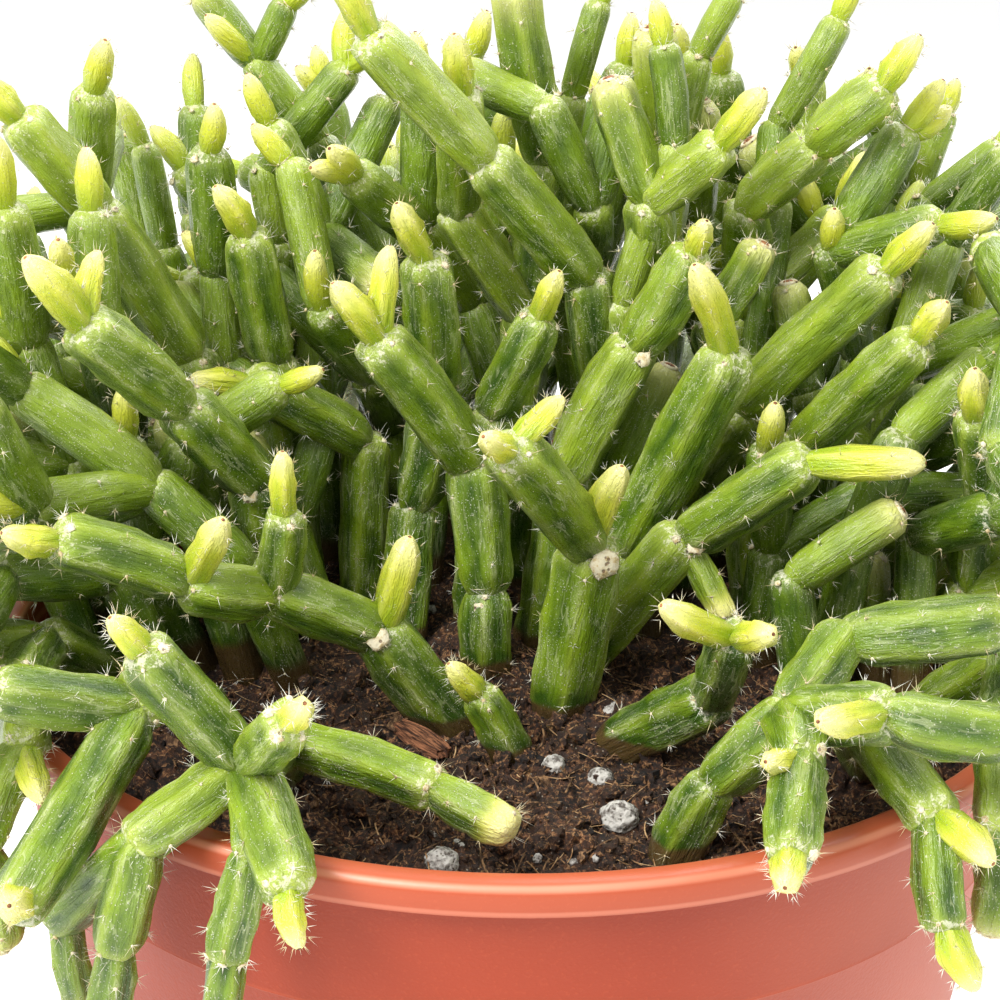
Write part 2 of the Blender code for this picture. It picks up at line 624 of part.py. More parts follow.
def grow_stems(front):
    """Grow the stems of the sides and the back, a round of pieces at a time, and return all stems."""
    draw = random.Random(GROWTH_SEED)
    thicket = Thicket()
    for stem in front.values():
        joints = {None: thicket.new_joint()}
        thicket.add(root_joint(stem.root) - np.array([0, 0, NECK_HEIGHT]), root_joint(stem.root),
                    root_radius(stem), -1, joints[None])
        for number, piece in enumerate(stem.pieces):
            joints[number] = thicket.new_joint()
            start, end = piece_line(stem, number)
            thicket.add(start, end, piece.thickness / 2, joints[piece.after], joints[number])
    grown = {}
    ends = []
    for number, root in enumerate(scatter_roots(draw, [stem.root for stem in front.values()])):
        name = f"stem_grown_{number:02d}"
        grown[name] = Stem(root, [])
        joint = thicket.new_joint()
        thicket.add(root_joint(root) - np.array([0, 0, NECK_HEIGHT]), root_joint(root),
                    SEGMENT_THICKNESS[1] / 2 * ROOT_THICKNESS, -1, joint)
        ends.append((name, None, joint, root_joint(root), np.array([0.0, 0.0, 1.0])))
    bare = []
    made = 0
    for level in range(GROWTH_ROUNDS):
        draw.shuffle(ends)
        following = []
        for name, after, joint, point, heading in ends:
            wanted = 1 if level == 0 else draw.choice(BRANCH_COUNTS)
            siblings = []
            for _ in range(wanted):
                if made >= MAX_GROWN_PIECES or len(grown[name].pieces) >= MOST_PIECES_A_STEM:
                    break
                found = try_directions(draw, thicket, point, heading, siblings, level, joint)
                if found is None:
                    continue
                end, radius = found
                siblings.append(unit(end - point))
                stem = grown[name]
                stem.pieces.append(Piece(after, tuple(end), 2 * radius, False))
                number = len(stem.pieces) - 1
                end_joint = thicket.new_joint()
                start, end = piece_line(stem, number)
                thicket.add(start, end, radius, joint, end_joint)
                following.append((name, number, end_joint, end, unit(end - point)))
                made += 1
            if not siblings and after is not None:
                bare.append((name, after, joint, point, heading))
        ends = following
    for name, after, joint, point, heading in bare + ends:
        if draw.random() < TIP_CHANCE:
            add_tip(draw, thicket, grown[name], after, joint, point, heading)
    stems = dict(front)
    stems.update({name: stem for name, stem in grown.items() if stem.pieces})
    return stems


def try_directions(draw, thicket, point, heading, siblings, level, joint):
    """Draw directions and, of the first few with room, return the end and radius of the freest, or None."""
    outward = np.array([point[0], point[1], 0.0])
    outward = outward / max(np.linalg.norm(outward), 1.0)
    best = None
    most_room = 0.0
    found = 0
    for _ in range(DIRECTION_TRIES):
        length = draw.uniform(*SEGMENT_LENGTHS)
        radius = draw.uniform(*SEGMENT_THICKNESS) / 2
        wander = FIRST_WANDER if level == 0 else WANDER
        jitter = np.array([draw.gauss(0, wander) for _ in range(3)])
        lift = EARLY_LIFT
        if level >= EARLY_ROUNDS:
            over_rim = math.hypot(point[0], point[1]) > RIM_RADIUS
            lift = draw.uniform(*(OVER_RIM_LIFT if over_rim else LATE_LIFT))
        pull = OUTWARD_PULL + OUTWARD_GAIN * level
        course = unit(heading + jitter + outward * pull + np.array([0, 0, lift]))
        end = point + course * length
        if course @ heading < LEAST_ONWARD or any(course @ other > SIBLING_SPREAD for other in siblings):
            continue
        if not in_reach(end):
            continue
        room = thicket.room(point - heading * JOINT_SINK, end, radius, joint, level == 0)
        if room > most_room:
            best = (end, radius)
            most_room = room
        found += room > 0
        if found == DIRECTION_CHOICES:
            break
    return best


def add_tip(draw, thicket, stem, after, joint, point, heading):
    """Give a bare end its young tip, if there is room for one."""
    length = draw.uniform(*TIP_LENGTHS)
    radius = draw.uniform(*TIP_THICKNESS) / 2
    course = unit(heading + np.array([draw.gauss(0, TIP_WANDER) for _ in range(3)]))
    end = point + course * length
    if thicket.room(point - heading * JOINT_SINK, end, radius, joint) > 0:
        stem.pieces.append(Piece(after, tuple(end), 2 * radius, True))
        thicket.add(point, end, radius, joint, thicket.new_joint())


def chains(stem):
    """Split a stem into runs of pieces: each run goes on through the straightest piece at every joint."""
    headings = []
    for number in range(len(stem.pieces)):
        start, end = piece_line(stem, number)
        headings.append(unit(end - start))
    runs = []
    open_starts = [number for number, piece in enumerate(stem.pieces) if piece.after is None]
    while open_starts:
        run = [open_starts.pop(0)]
        while True:
            last = run[-1]
            following = [number for number, piece in enumerate(stem.pieces) if piece.after == last]
            if not following:
                break
            straightest = max(following, key=lambda number: headings[number] @ headings[last])
            open_starts += [number for number in following if number != straightest]
            run.append(straightest)
        runs.append(run)
    return runs


def chain_tube(stem, run, sides, rings):
    """The tube of one run of pieces, with a waist at each joint; the first run also has the root."""
    stations = []
    first_start, first_end = piece_line(stem, run[0])
    if stem.pieces[run[0]].after is None:
        radius = root_radius(stem)
        low = np.array([*stem.root, SOIL_TOP - ROOT_DEPTH])
        up = np.array([0, 0, 1.0])
        first_pole = low - up * GAP
        first_start = root_joint(stem.root)
        stations.append((low, up, radius))
        stations.append((first_start, unit(up + unit(first_end - first_start)), radius))
    else:
        first_pole = first_start
        heading = unit(first_end - first_start)
        stations.append((first_start + heading, heading, stem.pieces[run[0]].thickness / 2 * JOINT_RING))
    start = first_start
    for place, number in enumerate(run):
        piece = stem.pieces[number]
        end = np.array(piece.end, dtype=float)
        heading = unit(end - start)
        radius = piece.thickness / 2
        for part, factor in rings[piece.tip]:
            stations.append((start + (end - start) * part, heading, radius * factor))
        if place + 1 < len(run):
            after = stem.pieces[run[place + 1]]
            onward = unit(np.array(after.end) - end)
            waist = min(radius, after.thickness / 2) * JOINT_RING
            stations.append((end, unit(heading + onward), waist))
        elif not piece.tip:
            part, factor = END_RING
            stations.append((start + (end - start) * part, heading, radius * factor))
        start = end
    return tube(stations, sides, first_pole, start)


def make_stem(name, stem):
    """Fuse a stem's runs of segments and tips into one solid."""
    rings = FRONT_RINGS if name in FRONT_STEMS else GROWN_RINGS
    shapes = [chain_tube(stem, run, stem_sides(name), rings) for run in chains(stem)]
    base = new_object(name, shapes[0], "stem")
    if len(shapes) > 1:
        combine(base, shapes[1:], "stem", "UNION", "MANIFOLD")


def main():
    clear_scene()
    stems = grow_stems(FRONT_STEMS)
    make_pot()
    make_soil(stems)
    for name, (x, y, radius) in PERLITE.items():
        new_object(name, grain(x, y, radius), "perlite")
    new_object("bark_chip", bark_chip(), "bark")
    for name, stem in stems.items():
        make_stem(name, stem)


main()
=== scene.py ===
"""The dressed model of a potted rhipsalis: ribbed segments with bristles, crumbly soil and a moulded pot.

Lengths are in millimetres until a mesh is made, where they become metres. The pot's foot is at the origin,
+Z is up and -Y is the front. The stems' plan repeats the one of the solids, piece for piece, and then grows
further branches and young tips into the gaps that are left.
"""

import logging
import math
import random
from dataclasses import dataclass, field
from enum import Enum
from typing import Any, Callable, NamedTuple, Sequence

import bmesh
import bpy
import numpy as np
from bpy.types import Material, Object
from mathutils import Matrix, Vector, noise


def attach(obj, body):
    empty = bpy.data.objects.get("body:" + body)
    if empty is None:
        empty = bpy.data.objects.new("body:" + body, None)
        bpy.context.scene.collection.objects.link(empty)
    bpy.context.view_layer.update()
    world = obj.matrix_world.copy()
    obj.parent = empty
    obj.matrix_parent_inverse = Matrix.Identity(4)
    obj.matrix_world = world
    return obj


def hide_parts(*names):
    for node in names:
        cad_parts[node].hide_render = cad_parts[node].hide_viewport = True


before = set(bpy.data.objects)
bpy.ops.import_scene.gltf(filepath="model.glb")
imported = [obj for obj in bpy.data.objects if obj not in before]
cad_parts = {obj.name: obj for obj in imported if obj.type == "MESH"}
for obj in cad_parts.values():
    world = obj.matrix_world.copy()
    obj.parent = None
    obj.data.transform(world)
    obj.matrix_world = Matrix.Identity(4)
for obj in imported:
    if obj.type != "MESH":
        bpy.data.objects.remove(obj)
log = logging.getLogger("rhipsalis")

MM = 0.001
Pair = tuple[float, float]
Point = tuple[float, float, float]
Colour = tuple[float, float, float, float]
Array = np.ndarray


class Piece(NamedTuple):
    """One segment or tip: the piece it grows from, its end, its thickness and whether it is a young tip."""

    after: int | None
    end: Point
    thickness: float
    tip: bool


class Stem(NamedTuple):
    """A stem's place on the soil and its pieces."""

    root: Pair
    pieces: list[Piece]


def seg(after: int | None, x: float, y: float, z: float, thickness: float = 6.4) -> Piece:
    """A mature segment that ends at (x, y, z) and starts where piece number `after` ends."""
    return Piece(after, (x, y, z), thickness, False)


def tip(after: int | None, x: float, y: float, z: float, thickness: float = 4.0) -> Piece:
    """A young shoot tip that ends at (x, y, z) and starts where piece number `after` ends."""
    return Piece(after, (x, y, z), thickness, True)


# The stems that the front shows, from the middle outwards. Piece 0 starts at the root.
FRONT_STEMS: dict[str, Stem] = {
    "stem_front_post": Stem((5, -9), [seg(None, 8, -11, 119, 7.8), seg(0, -1, -24, 134, 6.6),
        tip(0, 11, -15, 129, 4.4), tip(1, -3, -30, 137, 3.8), tip(1, 5, -20, 138, 3.8)]),
    "stem_dark_upright": Stem((-4, 0), [seg(None, -4, 1, 108, 6.2), seg(0, -6, 3, 123, 6.8), seg(1, -16, -4, 139, 6.8),
        tip(2, -20, -7, 146, 4.6), tip(2, -14, -2, 149, 3.8)]),
    "stem_young_front": Stem((-1, -21), [seg(None, -4, -22, 106, 4.8), tip(0, -7, -24, 110, 3.8)]),
    "stem_front_right": Stem((7, 0), [seg(None, 19, -4, 117, 6.6), seg(0, 31, -10, 128, 6.4),
        tip(1, 43, -14, 129, 4.8), seg(0, 23, -8, 108, 3.4)]),
    "stem_long_right": Stem((11, 9), [seg(None, 12, 5, 112, 6.6), seg(0, 23, 0, 137, 7.4), tip(1, 18, -5, 148, 4.6)]),
    "stem_middle": Stem((2, 9), [seg(None, 5, 10, 119, 6.4), seg(0, 13, 9, 135, 6.8), seg(1, 19, 8, 146, 6.4),
        tip(2, 20, 5, 150, 3.8)]),
    "stem_short_middle": Stem((-6, 12), [seg(None, -5, 11, 112, 5.8), seg(0, -4, 11, 126, 5.8), seg(1, 2, 9, 138, 5.8),
        tip(2, 4, 6, 144, 3.8)]),
    "stem_left_middle": Stem((-14, 9), [seg(None, -13, 12, 114, 6.0), seg(0, -10, 12, 129, 6.2),
        seg(1, -11, 8, 145, 6.4), tip(2, -14, 4, 152, 4.2)]),
    "stem_left_level": Stem((-20, 16), [seg(None, -19, 16, 121, 6.0), seg(0, -32, 8, 130, 6.0),
        tip(1, -38, 5, 131, 4.2)]),
    "stem_high_left": Stem((8, 22), [seg(None, 8, 22, 112, 6.4), seg(0, 9, 20, 126, 6.4), seg(1, 7, 17, 141, 6.4),
        seg(2, -5, 9, 156, 6.6), seg(3, -17, 4, 170, 6.2), tip(4, -20, 1, 177, 4.2)]),
    "stem_right_reach": Stem((19, 25), [seg(None, 19, 20, 113, 6.6), seg(0, 25, 11, 127, 6.6), seg(1, 40, 4, 145, 6.4),
        tip(2, 44, 1, 151, 4.2), seg(1, 21, 15, 136, 5.4), seg(4, 27, 14, 145, 4.8)]),
    "stem_right_lower": Stem((28, 19), [seg(None, 27, 15, 113, 6.0), seg(0, 32, 6, 124, 6.2), seg(1, 43, -2, 139, 6.2),
        tip(2, 45, -5, 144, 4.4)]),
    "stem_right_short": Stem((36, 10), [seg(None, 35, 10, 112, 6.2), seg(0, 49, 8, 112, 5.4), seg(1, 56, 14, 122, 5.6),
        tip(2, 59, 14, 128, 4.0)]),
    "stem_right_side": Stem((46, 4), [seg(None, 51, -4, 111, 6.4), seg(0, 51, -4, 122, 6.2), seg(1, 48, -9, 133, 6.0),
        tip(2, 47, -12, 139, 4.2), seg(0, 61, -14, 117, 6.2), tip(4, 68, -18, 119, 4.2)]),
    "stem_front_left": Stem((-8, -14), [seg(None, -15, -17, 111, 7.2), seg(0, -26, -22, 117, 6.2),
        seg(1, -34, -27, 120, 6.2), seg(2, -45, -33, 127, 6.0), tip(3, -49, -37, 129, 4.2), tip(0, -11, -18, 122, 4.8),
        seg(1, -23, -25, 127, 4.8), tip(6, -23, -26, 134, 3.4), tip(2, -28, -32, 129, 4.4)]),
    "stem_left_rise": Stem((-29, 4), [seg(None, -29, 0, 112, 6.6), seg(0, -29, -4, 123, 6.8),
        seg(1, -36, -12, 134, 6.8), seg(2, -44, -20, 145, 6.6), tip(3, -48, -24, 153, 5.0),
        tip(3, -42, -17, 152, 3.6)]),
    "stem_left_tall": Stem((-38, 16), [seg(None, -38, 15, 115, 6.6), seg(0, -39, 13, 132, 6.8),
        seg(1, -48, 8, 150, 6.8), seg(2, -55, 4, 161, 6.2), tip(3, -58, 2, 166, 4.4)]),
    "stem_left_inner": Stem((-28, 21), [seg(None, -29, 21, 114, 6.2), seg(0, -30, 18, 130, 6.4),
        seg(1, -32, 14, 146, 6.2), tip(2, -35, 11, 152, 4.4)]),
    "stem_spill_left": Stem((-24, -26), [seg(None, -23, -36, 107, 6.0), seg(0, -24, -51, 112, 6.2),
        seg(1, -32, -56, 126, 5.8), tip(2, -34, -58, 130, 3.6), seg(1, -18, -61, 122, 5.0), tip(4, -16, -66, 126, 3.4),
        seg(1, -34, -56, 106, 5.4), seg(6, -36, -57, 95, 5.2), seg(7, -38, -57, 86, 4.4), seg(1, -18, -65, 107, 6.0),
        tip(9, -17, -68, 103, 3.6), seg(0, -6, -46, 107, 5.2), seg(11, 1, -50, 105, 4.6), seg(6, -43, -50, 94, 5.0),
        seg(13, -41, -50, 84, 3.6), seg(1, -22, -60, 107, 4.4), seg(15, -25, -61, 97, 4.4),
        seg(16, -26, -62, 88, 3.8)]),
    "stem_arm_left": Stem((-35, -14), [seg(None, -36, -28, 110, 6.4), seg(0, -36, -43, 113, 6.4),
        seg(1, -44, -62, 102, 6.2), tip(2, -42, -68, 107, 4.4), seg(1, -48, -49, 118, 5.8), seg(4, -62, -52, 122, 6.0),
        tip(5, -69, -54, 124, 4.2)]),
    "stem_trail_left": Stem((-46, -6), [seg(None, -51, -18, 109, 6.2), seg(0, -62, -29, 113, 6.0),
        seg(1, -72, -37, 114, 5.8), tip(2, -77, -41, 117, 4.2), seg(0, -50, -31, 110, 5.6), seg(4, -47, -42, 108, 5.2),
        tip(5, -44, -47, 105, 4.0), seg(5, -51, -48, 100, 5.2), seg(7, -49, -49, 90, 5.0)]),
    "stem_spill_right": Stem((17, -41), [seg(None, 20, -42, 107, 5.8), seg(0, 27, -43, 115, 6.0),
        seg(1, 33, -34, 119, 5.6), seg(2, 48, -36, 121, 6.4), tip(3, 55, -38, 123, 4.2), seg(1, 35, -52, 119, 6.0),
        tip(5, 27, -60, 122, 3.8), seg(5, 46, -52, 117, 5.8), tip(7, 52, -54, 114, 4.2), seg(1, 27, -53, 114, 5.6),
        seg(9, 25, -65, 111, 5.4), tip(10, 24, -71, 112, 4.0), tip(9, 23, -58, 117, 3.2)]),
    "stem_shadow_right": Stem((13, -19), [seg(None, 21, -27, 108, 6.4), seg(0, 22, -35, 119, 5.2),
        tip(1, 14, -40, 124, 4.0), tip(1, 25, -42, 122, 3.8)]),
    "stem_drape_right": Stem((37, -24), [seg(None, 34, -37, 111, 6.0), seg(0, 40, -52, 108, 5.6),
        seg(1, 40, -58, 100, 4.8), tip(2, 43, -60, 95, 4.4), tip(1, 44, -58, 107, 4.4)]),
    "stem_trail_right": Stem((45, -12), [seg(None, 52, -22, 111, 6.2), seg(0, 57, -36, 113, 6.0),
        seg(0, 47, -38, 110, 5.6), seg(2, 46, -49, 105, 5.4), seg(3, 46, -50, 95, 5.2), seg(1, 69, -41, 115, 5.8),
        tip(5, 76, -44, 118, 4.2)]),
    "stem_crown_middle": Stem((13, 33), [seg(None, 14, 30, 117, 6.4), seg(0, 15, 25, 134, 6.4),
        seg(1, 14, 16, 150, 6.2), seg(2, 22, 11, 157, 5.6), tip(3, 26, 8, 164, 4.4), seg(2, 9, 17, 163, 5.6),
        seg(1, 17, 31, 150, 6.0), seg(6, 14, 28, 167, 6.0)]),
    "stem_crown_right": Stem((24, 34), [seg(None, 25, 31, 117, 6.4), seg(0, 26, 27, 134, 6.2),
        seg(1, 25, 21, 148, 6.0), seg(2, 33, 17, 156, 6.0), seg(3, 40, 14, 163, 6.0), tip(4, 43, 13, 169, 4.2),
        seg(1, 38, 28, 145, 6.0), tip(6, 40, 28, 153, 4.2)]),
    "stem_back_spire": Stem((-2, 25), [seg(None, -2, 26, 116, 6.4), seg(0, 0, 28, 133, 6.4), seg(1, 2, 27, 152, 6.2),
        seg(2, -2, 25, 173, 6.0), seg(1, -9, 22, 147, 6.0), seg(4, -7, 15, 162, 5.4), tip(5, -8, 12, 169, 4.2)]),
}


# What shows of the thin stems behind the crown, which only this script has. Their pieces 0 and 1 are hidden in
# the bush, and piece 2 comes out of it.
BACK_STEMS: dict[str, list[Piece]] = {
    "back_left_fork": [seg(1, -27, 42, 151, 5.0), seg(2, -35, 42, 161, 5.0), seg(3, -41, 42, 169, 4.8),
                       seg(3, -30, 41, 168, 4.0)],
    "back_left_cross": [seg(1, -33, 36, 149, 5.0), seg(2, -22, 36, 161, 5.0)],
    "back_left_edge": [seg(1, -48, 46, 136, 4.8), seg(2, -50, 47, 149, 4.4), tip(3, -53, 47, 155, 3.6)],
    "inner_left": [seg(1, -37, 20, 128, 5.0), seg(2, -37, 21, 140, 4.6)],
    "inner_left_low": [seg(1, -45, 21, 125, 4.8)],
    "back_middle": [seg(1, 5, 36, 158, 4.4), seg(2, 8, 36, 169, 3.8)],
    "back_slim": [seg(1, 17, 18, 156, 4.4), seg(2, 15, 18, 167, 4.2), tip(3, 14, 18, 172, 3.6)],
    "back_right_slim": [seg(1, 20, 36, 163, 4.2), seg(2, 24, 36, 170, 3.8)],
    "back_right_reach": [seg(1, 29, 30, 156, 4.6), seg(2, 36, 30, 168, 4.2), tip(3, 38, 30, 173, 3.6)],
    "back_right_thin": [seg(1, 48, 41, 145, 4.2), seg(2, 51, 42, 155, 3.8), tip(3, 52, 42, 159, 3.4)],
    "back_right_edge": [seg(1, 47, 30, 147, 4.6), seg(2, 56, 30, 153, 4.2)],
}

# The same for gaps that are left when all else has grown
GAP_STEMS: dict[str, list[Piece]] = {
    "gap_left_wide": [seg(1, -52, 54, 134, 5.2), seg(2, -55, 54, 149, 5.0), tip(3, -56, 54, 155, 3.6)],
    "gap_right_low": [seg(1, 33, 40, 121, 4.8)],
    "gap_right_far": [seg(1, 55, 50, 123, 4.8), seg(2, 56, 50, 135, 4.4)],
}


@dataclass(frozen=True)
class PotSize:
    """The sizes of the nursery pot and of the soil's top, as on the solids."""

    height: float = 105.0
    rim_radius: float = 60.0
    rim_inner: float = 57.0
    lip_height: float = 3.4
    body_top: float = 57.9
    foot: float = 41.0
    wall: float = 1.4
    floor: float = 2.0
    line_drop: float = 17.5
    line_step: float = 0.25
    soil_top: float = 98.0
    edge_drop: float = 1.2
    relief: float = 0.55
    gap: float = 0.3

    def body_radius(self, height: float) -> float:
        """The pot's outer radius at a height below its lip."""
        return self.foot + (self.body_top - self.foot) * height / (self.height - self.lip_height)

    def inner_radius(self, height: float) -> float:
        """The pot's inner radius at a height."""
        return min(self.body_radius(height) - self.wall, self.rim_inner)

    def clearance(self, line: Array, radius: float) -> float:
        """The least room between points of a piece and the pot or the soil.

        Args:
            line: Points along the piece, one in a row.
            radius: The piece's radius.

        Returns:
            The room in millimetres, negative where they cross.
        """
        rho = np.hypot(line[:, 0], line[:, 1])
        height = line[:, 2]
        inside = np.maximum(self.rim_inner - rho, 0)
        outside = np.maximum(rho - self.rim_radius, 0)
        rim = np.hypot(np.maximum(inside, outside), np.maximum(height - self.height, 0))
        soil = np.where(rho < self.rim_inner, height - self.soil_top - self.relief, self.rim_radius)
        return float(np.minimum(rim, soil).min()) - radius - self.gap


POT = PotSize()


@dataclass
class Thicket:
    """Every stem's pieces as rows of points with radii, for asking whether a new piece has room."""

    clearance: float = 0.4
    step: float = 1.9
    near: float = 24.0
    rooted_samples: int = 4
    points: Array = field(default_factory=lambda: np.empty((0, 3)))
    radii: Array = field(default_factory=lambda: np.empty(0))
    starts: Array = field(default_factory=lambda: np.empty(0, dtype=int))
    ends: Array = field(default_factory=lambda: np.empty(0, dtype=int))
    joints: int = 0

    def new_joint(self) -> int:
        """The number of a joint that no piece has yet."""
        self.joints += 1
        return self.joints

    def add(self, start: Array, end: Array, radius: float, start_joint: int, end_joint: int) -> None:
        """Take up the room of one piece.

        Args:
            start: Where the piece starts.
            end: Where it ends.
            radius: Its radius.
            start_joint: The number of the joint that it grows from.
            end_joint: The number of the joint at its end.
        """
        line = self.line(start, end)
        self.points = np.vstack([self.points, line])
        self.radii = np.append(self.radii, np.full(len(line), radius))
        self.starts = np.append(self.starts, np.full(len(line), start_joint))
        self.ends = np.append(self.ends, np.full(len(line), end_joint))

    def line(self, start: Array, end: Array) -> Array:
        """Points along a piece, no further apart than the step."""
        count = int(np.linalg.norm(end - start) / self.step) + 2
        return start + np.linspace(0, 1, count)[:, None] * (end - start)

    def room(self, start: Array, end: Array, radius: float, start_joint: int, rooted: bool = False) -> float:
        """The room from a piece to all but its parent and the others at its joint.

        Args:
            start: Where the piece would start.
            end: Where it would end.
            radius: Its radius.
            start_joint: The number of the joint that it would grow from.
            rooted: Whether it is the first piece over the soil.

        Returns:
            The room in millimetres, 0 where it is too little.
        """
        line = self.line(start, end)
        others = (self.starts != start_joint) & (self.ends != start_joint)
        near = others & (np.abs(self.points - (start + end) / 2).max(axis=1) < self.near)
        if POT.clearance(line[self.rooted_samples if rooted else 0:], radius) < 0:
            return 0.0
        if not near.any():
            return self.near
        gaps = np.linalg.norm(self.points[near][:, None] - line[None], axis=2) - self.radii[near][:, None]
        return max(0.0, float(gaps.min()) - radius - self.clearance)


def unit(vector: Array) -> Array:
    """The vector at length 1."""
    return vector / np.linalg.norm(vector)


def drift(draw: random.Random, spread: float) -> Array:
    """A small vector by chance."""
    return np.array([draw.gauss(0, spread) for _ in range(3)])


class End(NamedTuple):
    """An open end that a piece may grow from."""

    name: str
    after: int | None
    joint: int
    point: Array
    heading: Array


@dataclass
class Growth:
    """The rule that the stems of the sides and the back grow by, a round of pieces at a time."""

    seed: int = 42
    neck: float = 2.6
    sink: float = 1.4
    root_thickness: float = 0.80
    stems: int = 24
    root_tries: int = 80
    root_angles: Pair = (math.radians(-22), math.radians(202))
    root_radii: Pair = (16.0, 51.0)
    root_reach: float = 51.0
    root_spacing: float = 6.9
    rounds: int = 6
    most_pieces: int = 238
    most_in_a_stem: int = 20
    most_children: int = 3
    tries: int = 70
    choices: int = 3
    branches: tuple[int, ...] = (2, 2, 3)
    lengths: Pair = (12.5, 18.5)
    thicknesses: Pair = (5.0, 6.2)
    tip_lengths: Pair = (5.5, 8.5)
    tip_thicknesses: Pair = (3.4, 4.2)
    tip_chance: float = 0.72
    first_wander: float = 0.22
    wander: float = 0.55
    tip_wander: float = 0.28
    early_rounds: int = 2
    early_lift: float = 0.5
    late_lift: Pair = (-0.35, 0.45)
    over_rim_lift: Pair = (-1.1, -0.1)
    outward_pull: float = 0.2
    outward_gain: float = 0.09
    least_onward: float = 0.1
    sibling_spread: float = 0.62
    dome_radius: float = 84.0
    dome_height: float = 72.0
    hang_radius: float = 66.0
    hang_depth: float = 30.0
    open_front: float = 14.0
    open_half_width: float = 25.0
    side_front: float = -12.0
    side_half_width: float = 46.0
    side_height: float = 134.0
    fill_seed: int = 5
    fill_clearance: float = 0.18
    fill_stems: int = 44
    fill_spacing: float = 4.5
    fill_pieces: int = 340
    fill_rounds: int = 4
    fill_reach: float = 0.86
    bud_chance: float = 0.35
    reach_tries: int = 150
    reach_shares: Pair = (0.55, 1.0)
    reach_joints: Pair = (0.36, 0.70)
    reach_drift: float = 3.0
    reach_first: float = 8.8
    reach_room: float = 1.0
    stems_grown: dict[str, Stem] = field(default_factory=dict)
    thicket: Thicket = field(default_factory=Thicket)
    joints: dict[tuple[str, int | None], int] = field(default_factory=dict)

    def root_joint(self, root: Pair) -> Array:
        """The top of the short upright neck on which a stem's first piece sits."""
        return np.array([root[0], root[1], POT.soil_top + self.neck])

    def root_radius(self, stem: Stem) -> float:
        """The radius of a stem where it enters the soil."""
        return self.root_thickness * stem.pieces[0].thickness / 2

    def piece_line(self, stem: Stem, number: int) -> tuple[Array, Array]:
        """The start and end of a piece; a piece starts a little way inside the one that it grows from."""
        piece = stem.pieces[number]
        end = np.array(piece.end, dtype=float)
        if piece.after is None:
            return self.root_joint(stem.root) - np.array([0, 0, self.sink]), end
        parent_start, joint = self.piece_line(stem, piece.after)
        return joint - unit(joint - parent_start) * self.sink, end

    def behind_front(self, x: float, y: float) -> bool:
        """Whether a place lies behind the listed stems and off the open soil."""
        if abs(x) < self.open_half_width:
            return y > self.open_front
        return y > self.side_front or abs(x) > self.side_half_width

    def in_reach(self, point: Array) -> bool:
        """Whether a grown piece may end here: in the dome or just outside the rim, off the open front."""
        x, y, z = point
        rho = math.hypot(x, y)
        if not self.behind_front(x, y) or rho > self.dome_radius:
            return False
        if y < self.open_front and abs(x) < self.side_half_width and z > self.side_height:
            return False
        if z < POT.height:
            hangs = rho > self.hang_radius and z > POT.height - self.hang_depth
            return (rho < self.root_reach and z > POT.soil_top) or hangs
        return (rho / self.dome_radius) ** 2 + ((z - POT.height) / self.dome_height) ** 2 < 1

    def scatter_roots(self, draw: random.Random, taken: list[Pair], count: int, spacing: float) -> list[Pair]:
        """Places on the soil for grown stems: one in each of many slices from side to side round the back.

        Args:
            draw: The source of chance.
            taken: The places that already have a stem.
            count: How many slices there are.
            spacing: The least distance between two stems.

        Returns:
            The new places.
        """
        places: list[Pair] = []
        first, last = self.root_angles
        for number in range(count):
            for _ in range(self.root_tries):
                angle = first + (last - first) * (number + draw.random()) / count
                radius = draw.uniform(*self.root_radii)
                x = radius * math.cos(angle)
                y = radius * math.sin(angle)
                clear = all(math.dist((x, y), other) > spacing for other in taken + places)
                if clear and self.behind_front(x, y):
                    places.append((x, y))
                    break
        return places

    def plant(self, name: str, root: Pair, radius: float) -> End:
        """Stand a stem's neck in the soil and return the open end on it."""
        joint = self.thicket.new_joint()
        top = self.root_joint(root)
        self.thicket.add(top - np.array([0, 0, self.neck]), top, radius, -1, joint)
        self.joints[name, None] = joint
        return End(name, None, joint, top, np.array([0.0, 0.0, 1.0]))

    def extend(self, draw: random.Random, open_end: End, level: int, siblings: list[Array]) -> End | None:
        """Grow one segment from an open end.

        Args:
            draw: The source of chance.
            open_end: The end that it grows from.
            level: How many pieces are below it.
            siblings: The courses of the segments that already grow from this end.

        Returns:
            The new open end, or None where there is no room.
        """
        found = self.try_directions(draw, open_end, siblings, level)
        if found is None:
            return None
        end, radius = found
        siblings.append(unit(end - open_end.point))
        stem = self.stems_grown[open_end.name]
        stem.pieces.append(Piece(open_end.after, tuple(end), 2 * radius, False))
        number = len(stem.pieces) - 1
        joint = self.thicket.new_joint()
        start, end = self.piece_line(stem, number)
        self.thicket.add(start, end, radius, open_end.joint, joint)
        self.joints[open_end.name, number] = joint
        return End(open_end.name, number, joint, end, unit(end - open_end.point))

